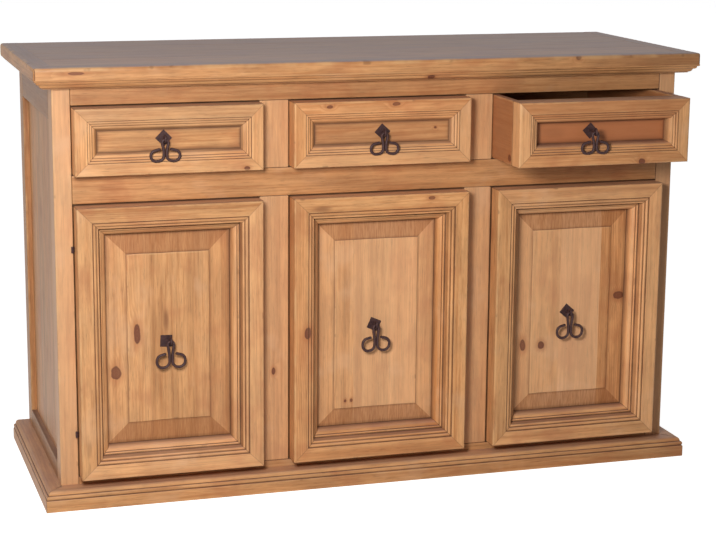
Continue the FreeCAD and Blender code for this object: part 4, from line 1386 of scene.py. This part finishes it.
class SIDEBOARD_OT_doors(bpy.types.Operator):
    """Three doors: thick mitred frame and raised panel of glued boards"""

    bl_idname = "sideboard.doors"
    bl_label = "Doors"

    def frame_looks(self, number, front):
        """Marks of the left, right, bottom and top members."""
        return {
            1: ({"stain": ((-630.0, front, 126.0), 20.0, 6.0, 0.4), "tone": -0.4}, {"tone": -0.1},
                {"tone": 0.6, "red": -0.2}, {"tone": -0.9, "red": 0.0}),
            2: ({"knots": (((-163.7, front, 345.0), 14.0, 7.5, 1.0),), "tone": -0.3}, {"tone": 0.2},
                {"tone": 0.1},
                {"knots": (((107.8, front, 622.0), 8.0, 4.0, 0.8),),
                 "stain": ((-135.0, front, 609.0), 26.0, 9.0, 0.8), "tone": 0.1}),
            3: ({"tone": -0.6}, {"tone": 1.2, "red": -0.2}, {"tone": 0.2, "red": -0.1}, {"tone": 0.0}),
        }[number]

    def panel_looks(self, number, field):
        """Marks and seams of the boards in a panel, from left to right."""
        return {
            1: ((-491.0, -398.4), (
                {"knots": (((-519.1, field, 356.1), 22.0, 7.0, 1.0), ((-563.8, field, 274.8), 15.0, 11.0, 0.9)),
                 "tone": -0.3, "red": -0.1},
                {"stain": ((-457.5, field, 384.0), 34.0, 8.0, 0.95), "tone": -0.8, "red": -0.04},
                {"tone": -0.6, "red": -0.1, "stain": ((-387.8, field, 160.0), 14.0, 12.0, 0.3)})),
            2: ((-50.0, 29.1, 93.0), (
                {"knots": (((-68.1, field, 177.4), 4.0, 3.0, 1.0), ((-54.0, field, 178.2), 4.0, 3.0, 0.9)),
                 "stain": ((-56.1, field, 144.9), 40.0, 30.0, 0.25), "tone": 0.1, "red": -0.2},
                {"tone": 0.1, "red": -0.4}, {"tone": 0.7, "red": -0.4}, {"tone": 0.2, "red": -0.3})),
            3: ((426.3, 521.9), (
                {"knots": (((385.0, field, 271.5), 9.0, 8.0, 1.0), ((342.4, field, 272.8), 14.0, 7.0, 0.9)),
                 "tone": 0.5, "red": -0.3},
                {"tone": 0.8, "red": -0.5},
                {"knots": (((569.0, field, 373.5), 9.0, 14.0, 0.9),), "red": 0.15, "tone": 0.3})),
        }[number]

    def execute(self, context):
        wax = finish_named("waxed_pine")
        for number in (1, 2, 3):
            name = "door_" + str(number)
            low, high = solid_box(name + "_frame")
            front = low.y
            draw = draws(name)
            outline = frame_outline(DOOR_BAND, DOOR_MOULDING, DOOR_MOULDING_DEPTH, DOOR_MOULDING_DEPTH,
                                    DOOR_SHARES, DOOR_THICKNESS, DOOR_TONGUE)
            timber = Timber()
            add_frame(timber, draw, low, high, outline, self.frame_looks(number, front))
            placed(timber.make(name + "_frame_waxed", wax), name, "waxed_pine", name + "_frame")
            low, high = solid_box(name + "_panel")
            low_front = front + DOOR_MOULDING_DEPTH
            bevel = DOOR_BEVELS[number - 1]
            slope = DOOR_BEVEL_RISE / bevel
            edge = DOOR_TONGUE
            rim = edge + bevel
            field = low_front - DOOR_BEVEL_RISE - DOOR_FIELD_STEP
            # The grime values are painted shade: darkest where the panel enters the frame, and a painted shadow line
            # round the raised field
            loops = (
                (0.0, low_front, 0.3, 0.0, 0.0),
                (edge, low_front, 1.0, 0.0, 1.0),
                (edge + 1.5, low_front - 1.5 * slope, 0.35, 0.0, 1.0),
                (edge + 8.0, low_front - 8.0 * slope, 0.04, 0.0, 1.0),
                (rim - 5.0, low_front - (bevel - 5.0) * slope, 0.0, 0.0, 1.0),
                (rim - 1.2, low_front - (bevel - 1.2) * slope, 0.25, 0.0, 1.0),
                (rim, low_front - DOOR_BEVEL_RISE, 0.60, 0.0, 0.0),
                (rim + 0.3, field + 0.5, 0.25, 0.6, 0.0),
                (rim + 1.3, field, 0.0, 1.0, 0.0),
                (rim + 4.5, field, 0.0, 0.0, 0.0),
            )
            seams, looks = self.panel_looks(number, field)
            timber = Timber()
            add_panel(timber, draw, low, high, loops, high.y, seams, Z_AXIS, looks, wavy=(rim, 1.1))
            placed(timber.make(name + "_panel_waxed", wax), name, "waxed_pine", name + "_panel")
        return {"FINISHED"}


class SIDEBOARD_OT_ironwork(bpy.types.Operator):
    """Six forged pulls, and the hinges"""

    bl_idname = "sideboard.ironwork"
    bl_label = "Ironwork"

    def execute(self, context):
        iron = finish_named("forged_iron")
        for kind in ("drawer", "door"):
            for number in (1, 2, 3):
                add_pull(kind, number, iron)
        for node in ("hinge_eyes", "door_1_fittings", "door_2_fittings", "door_3_fittings"):
            dress(node, iron)
        return {"FINISHED"}


def dress(node, material):
    """Gives a solid that stays as it is its finish."""
    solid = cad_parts[node]
    solid.data.materials.clear()
    solid.data.materials.append(material)


class SIDEBOARD_OT_inside(bpy.types.Operator):
    """Unwaxed wood inside: floor, shelf, runners and rails"""

    bl_idname = "sideboard.inside"
    bl_label = "Inside"

    def execute(self, context):
        ways = {
            "cabinet_floor": "X", "shelf": "X", "back_rails": "X", "door_stop": "X", "shelf_cleats": "X",
            "floor_bearer": "Y", "drawer_runners": "Y", "drawer_kickers": "Y",
        }
        for node, axis in ways.items():
            dress(node, finish_named("plain_pine_" + axis))
        dress("door_catches", finish_named("catch_steel"))
        return {"FINISHED"}


class SIDEBOARD_OT_back(bpy.types.Operator):
    """Boarded back with its nails"""

    bl_idname = "sideboard.back"
    bl_label = "Back"

    def execute(self, context):
        low, high = solid_box("back_boards")
        self.add_boards(low * MM, high * MM)
        self.add_nails(low * MM, high * MM)
        return {"FINISHED"}

    def new_tree(self, name, inputs):
        """A node tree with named inputs, and the values that it is used with."""
        tree = bpy.data.node_groups.new(name, "GeometryNodeTree")
        graph = Graph(tree)
        tree.interface.new_socket(name="Geometry", in_out="OUTPUT", socket_type="NodeSocketGeometry")
        for label, kind, _ in inputs:
            tree.interface.new_socket(name=label, in_out="INPUT", socket_type="NodeSocket" + kind)
        return tree, graph, graph.add("NodeGroupInput")

    def plain_mesh(self, name, tree, inputs):
        """Runs a tree on an empty piece and keeps its result as a plain mesh."""
        holder = bpy.data.objects.new(name + "_maker", bpy.data.meshes.new(name + "_maker"))
        bpy.context.scene.collection.objects.link(holder)
        modifier = holder.modifiers.new(name, "NODES")
        modifier.node_group = tree
        found = {item.name: item.identifier for item in tree.interface.items_tree if item.in_out == "INPUT"}
        for label, _, value in inputs:
            modifier[found[label]] = value
        graph = bpy.context.evaluated_depsgraph_get()
        mesh = bpy.data.meshes.new_from_object(holder.evaluated_get(graph))
        holder.modifiers.clear()
        bpy.data.objects.remove(holder)
        return mesh

    def add_boards(self, low, high):
        width = (high.x - low.x) / BACK_BOARD_COUNT
        thickness = (high.y - low.y) - 0.0006
        inputs = (
            ("Count", "Int", BACK_BOARD_COUNT), ("First", "Vector", (low.x + width / 2, low.y + thickness / 2, low.z)),
            ("Pitch", "Vector", (width, 0.0, 0.0)), ("Width", "Float", width - sizes().board_gap),
            ("Thickness", "Float", thickness), ("Height", "Float", high.z - low.z), ("Seed", "Int", sizes().seed),
            ("Material", "Material", finish_named("plain_pine_boards")),
        )
        tree, graph, given = self.new_tree("Back boards", inputs)
        line = graph.add("GeometryNodeMeshLine", {"mode": "OFFSET"}, {
            "Count": given.output("Count"), "Start Location": given.output("First"),
            "Offset": given.output("Pitch")})
        top = graph.join(0.0, 0.0, given.output("Height"))
        path = graph.add("GeometryNodeCurvePrimitiveLine", None, {"End": top})
        path = graph.add("GeometryNodeResampleCurve", None, {"Curve": path, "Count": 14})
        section = graph.add("GeometryNodeCurvePrimitiveQuadrilateral", None, {
            "Width": given.output("Width"), "Height": given.output("Thickness")})
        section = graph.add("GeometryNodeFilletCurve", {"mode": "POLY"},
                            {"Curve": section, "Count": 2, "Radius": 0.0012})
        board = graph.add("GeometryNodeCurveToMesh", None,
                          {"Curve": path, "Profile Curve": section, "Fill Caps": True})
        boards = graph.add("GeometryNodeInstanceOnPoints", None, {"Points": line, "Instance": board})
        shift = graph.add("FunctionNodeRandomValue", {"data_type": "FLOAT_VECTOR"}, {
            0: (-2.0, -0.06, 0.03), 1: (2.0, 0.06, 0.1), "Seed": given.output("Seed")})
        boards = graph.add("GeometryNodeStoreNamedAttribute", {"data_type": "FLOAT_VECTOR", "domain": "INSTANCE"}, {
            "Geometry": boards, "Name": "shift", "Value": shift})
        home = graph.add("GeometryNodeInputPosition")
        boards = graph.add("GeometryNodeStoreNamedAttribute", {"data_type": "FLOAT_VECTOR", "domain": "INSTANCE"}, {
            "Geometry": boards, "Name": "home", "Value": home})
        boards = graph.add("GeometryNodeRealizeInstances", None, {"Geometry": boards})
        here = graph.add("ShaderNodeVectorMath", {"operation": "SUBTRACT"}, {
            0: graph.add("GeometryNodeInputPosition"),
            1: graph.add("GeometryNodeInputNamedAttribute", {"data_type": "FLOAT_VECTOR"}, {"Name": "home"})})
        x, y, z = graph.split(here)
        moved = graph.add("ShaderNodeVectorMath", {"operation": "ADD"}, {
            0: graph.join(z, x, y),
            1: graph.add("GeometryNodeInputNamedAttribute", {"data_type": "FLOAT_VECTOR"}, {"Name": "shift"})})
        boards = graph.add("GeometryNodeStoreNamedAttribute", {"data_type": "FLOAT_VECTOR", "domain": "POINT"}, {
            "Geometry": boards, "Name": "grain", "Value": moved})
        boards = graph.add("GeometryNodeSetMaterial", None, {
            "Geometry": boards, "Material": given.output("Material")})
        graph.add("NodeGroupOutput", None, {"Geometry": boards})
        mesh = self.plain_mesh("back_boards_nailed", tree, inputs)
        piece = finished("back_boards_nailed", mesh, finish_named("plain_pine_boards"))
        placed(piece, "carcass", "plain_pine", "back_boards")

    def add_nails(self, low, high):
        width = (high.x - low.x) / BACK_BOARD_COUNT
        radius = sizes().nail_radius
        inputs = (
            ("Count", "Int", BACK_BOARD_COUNT),
            ("First", "Vector", (low.x + width * 0.2, high.y - NAIL_SINK * MM, 0.0)),
            ("Pitch", "Vector", (width, 0.0, 0.0)), ("Spread", "Vector", (width * 0.6, 0.0, 0.0)),
            ("Head radius", "Float", radius), ("Material", "Material", finish_named("forged_iron")),
        ) + tuple((rail, "Float", height * MM) for rail, height in NAIL_ROWS)
        tree, graph, given = self.new_tree("Back nails", inputs)
        line = graph.add("GeometryNodeMeshLine", {"mode": "OFFSET"}, {
            "Count": given.output("Count"), "Start Location": given.output("First"),
            "Offset": given.output("Pitch")})
        pair = graph.add("GeometryNodeMeshLine", {"mode": "OFFSET"}, {"Count": 2, "Offset": given.output("Spread")})
        row = graph.add("GeometryNodeInstanceOnPoints", None, {"Points": line, "Instance": pair})
        row = graph.add("GeometryNodeRealizeInstances", None, {"Geometry": row})
        head = graph.add("GeometryNodeMeshCone", None, {
            "Vertices": 10, "Side Segments": 1, "Radius Top": NAIL_TOP_RADIUS * MM,
            "Radius Bottom": given.output("Head radius"), "Depth": NAIL_HEIGHT * MM})
        rows = []
        for rail, _ in NAIL_ROWS:
            offset = graph.join(0.0, 0.0, given.output(rail))
            rows.append(graph.add("GeometryNodeTransform", None, {"Geometry": row, "Translation": offset}))
        joined = self.tree_join(graph, rows)
        nails = graph.add("GeometryNodeInstanceOnPoints", None, {
            "Points": joined, "Instance": head, "Rotation": (-math.pi / 2, 0.0, 0.0)})
        nails = graph.add("GeometryNodeRealizeInstances", None, {"Geometry": nails})
        nails = graph.add("GeometryNodeSetMaterial", None, {
            "Geometry": nails, "Material": given.output("Material")})
        graph.add("NodeGroupOutput", None, {"Geometry": nails})
        mesh = self.plain_mesh("back_nails", tree, inputs)
        placed(finished("back_nails", mesh, finish_named("forged_iron")), "carcass", "forged_iron")

    def tree_join(self, graph, rows):
        """All rows of points as one."""
        node = graph.tree.nodes.new("GeometryNodeJoinGeometry")
        for row in rows:
            graph.tree.links.new(row.socket, node.inputs[0])
        return Value(graph, node.outputs[0])


class SIDEBOARD_OT_stage(bpy.types.Operator):
    """Pale floor, studio light and the camera"""

    bl_idname = "sideboard.stage"
    bl_label = "Stage"

    def execute(self, context):
        self.add_floor()
        self.add_lights()
        self.add_world()
        self.add_camera()
        bpy.context.scene.view_settings.view_transform = "Standard"
        return {"FINISHED"}

    def add_floor(self):
        """A large pale disc that shows white, and keeps the shadow under the sideboard."""
        material, graph = new_material("studio_floor")
        place = graph.add("ShaderNodeTexCoord", output="Object")
        mottle = graph.cloud(place, 1.4, 3.0)
        colour = graph.dimmed((0.62, 0.62, 0.62), 0.98 + mottle * 0.04)
        matt = graph.add("ShaderNodeBsdfDiffuse", None, {"Color": colour})
        white = graph.add("ShaderNodeEmission", None, {"Color": rgba((1.0, 1.0, 1.0)), "Strength": 0.95})
        rays = graph.add("ShaderNodeLightPath", output="Is Camera Ray")
        rays = rays + rays.output("Is Glossy Ray") + rays.output("Is Transmission Ray")
        nothing = graph.add("ShaderNodeEmission", None, {"Strength": 0.0})
        glow = graph.add("ShaderNodeMixShader", None, {0: rays, 1: nothing, 2: white})
        both = graph.add("ShaderNodeAddShader", None, {0: matt, 1: glow})
        graph.add("ShaderNodeOutputMaterial", None, {"Surface": both})
        mesh = bpy.data.meshes.new("studio_floor")
        shape = bmesh.new()
        bmesh.ops.create_circle(shape, cap_ends=True, radius=14.0, segments=96)
        shape.to_mesh(mesh)
        shape.free()
        mesh.materials.append(material)
        floor = bpy.data.objects.new("studio_floor", mesh)
        bpy.context.scene.collection.objects.link(floor)
        floor.location.z = -0.0005

    def add_lights(self):
        """A soft key lamp left of the middle and above, and a weak fill from the left."""
        lamps = (
            ("key", (-1.0, -2.0, 1.26), (0.0, -0.27, 0.45), 0.50, 39.0),
            ("fill", (-3.2, 0.1, 1.3), (-0.6, 0.0, 0.4), 1.6, 8.0),
        )
        for name, place, target, size, power in lamps:
            data = bpy.data.lights.new(name, "AREA")
            data.shape = "DISK"
            data.size = size
            data.energy = power
            lamp = bpy.data.objects.new(name, data)
            bpy.context.scene.collection.objects.link(lamp)
            lamp.location = place
            lamp.rotation_euler = (Vector(target) - Vector(place)).to_track_quat("-Z", "Y").to_euler()

    def add_world(self):
        world = bpy.data.worlds.new("studio")
        world.use_nodes = True
        graph = Graph(world.node_tree)
        seen = graph.add("ShaderNodeLightPath", output="Is Camera Ray")
        seen = seen + seen.output("Is Glossy Ray") + seen.output("Is Transmission Ray")
        strength = graph.rise(seen, 0.0, 1.0) * 0.87 + 0.13
        light = graph.add("ShaderNodeBackground", None, {"Color": rgba((1.0, 1.0, 1.0)), "Strength": strength})
        graph.add("ShaderNodeOutputWorld", None, {"Surface": light})
        bpy.context.scene.world = world

    def add_camera(self):
        """The photograph's own place, turn and lens."""
        data = bpy.data.cameras.new("camera")
        data.sensor_width = 36.0
        data.lens = CAMERA_LENS
        data.clip_end = 60.0
        camera = bpy.data.objects.new("camera", data)
        bpy.context.scene.collection.objects.link(camera)
        azimuth, drop, roll = (math.radians(angle) for angle in CAMERA_ANGLES)
        ahead = Vector((math.sin(azimuth) * math.cos(drop), math.cos(azimuth) * math.cos(drop), -math.sin(drop)))
        right = ahead.cross(Z_AXIS).normalized()
        up = right.cross(ahead)
        rolled_right = right * math.cos(roll) + up * math.sin(roll)
        rolled_up = up * math.cos(roll) - right * math.sin(roll)
        turn = Matrix((rolled_right, rolled_up, -ahead)).transposed().to_4x4()
        camera.matrix_world = Matrix.Translation(CAMERA_PLACE) @ turn
        bpy.context.scene.camera = camera


OPERATORS = (
    SIDEBOARD_OT_top, SIDEBOARD_OT_mouldings, SIDEBOARD_OT_carcass, SIDEBOARD_OT_drawers, SIDEBOARD_OT_doors,
    SIDEBOARD_OT_ironwork, SIDEBOARD_OT_inside, SIDEBOARD_OT_back, SIDEBOARD_OT_stage,
)


class SIDEBOARD_PT_panel(bpy.types.Panel):
    """Lists the pieces, their sizes and their colours"""

    bl_idname = "SIDEBOARD_PT_panel"
    bl_label = "Sideboard"
    bl_space_type = "VIEW_3D"
    bl_region_type = "UI"
    bl_category = "Sideboard"

    def draw(self, context):
        scene = context.scene
        for group in (scene.sideboard_sizes, scene.sideboard_finish, scene.sideboard_inside):
            for name in group.__annotations__:
                self.layout.prop(group, name)
        for operator in OPERATORS:
            self.layout.operator(operator.bl_idname)


CLASSES = (SideboardFinish, SideboardInside, SideboardSizes) + OPERATORS + (SIDEBOARD_PT_panel,)


def register():
    for item in CLASSES:
        bpy.utils.register_class(item)
    bpy.types.Scene.sideboard_finish = PointerProperty(type=SideboardFinish)
    bpy.types.Scene.sideboard_inside = PointerProperty(type=SideboardInside)
    bpy.types.Scene.sideboard_sizes = PointerProperty(type=SideboardSizes)


def unregister():
    del bpy.types.Scene.sideboard_sizes
    del bpy.types.Scene.sideboard_inside
    del bpy.types.Scene.sideboard_finish
    for item in reversed(CLASSES):
        bpy.utils.unregister_class(item)


def main():
    register()
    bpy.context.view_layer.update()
    for operator in OPERATORS:
        group, name = operator.bl_idname.split(".")
        getattr(getattr(bpy.ops, group), name)()


if __name__ == "__main__":
    main()
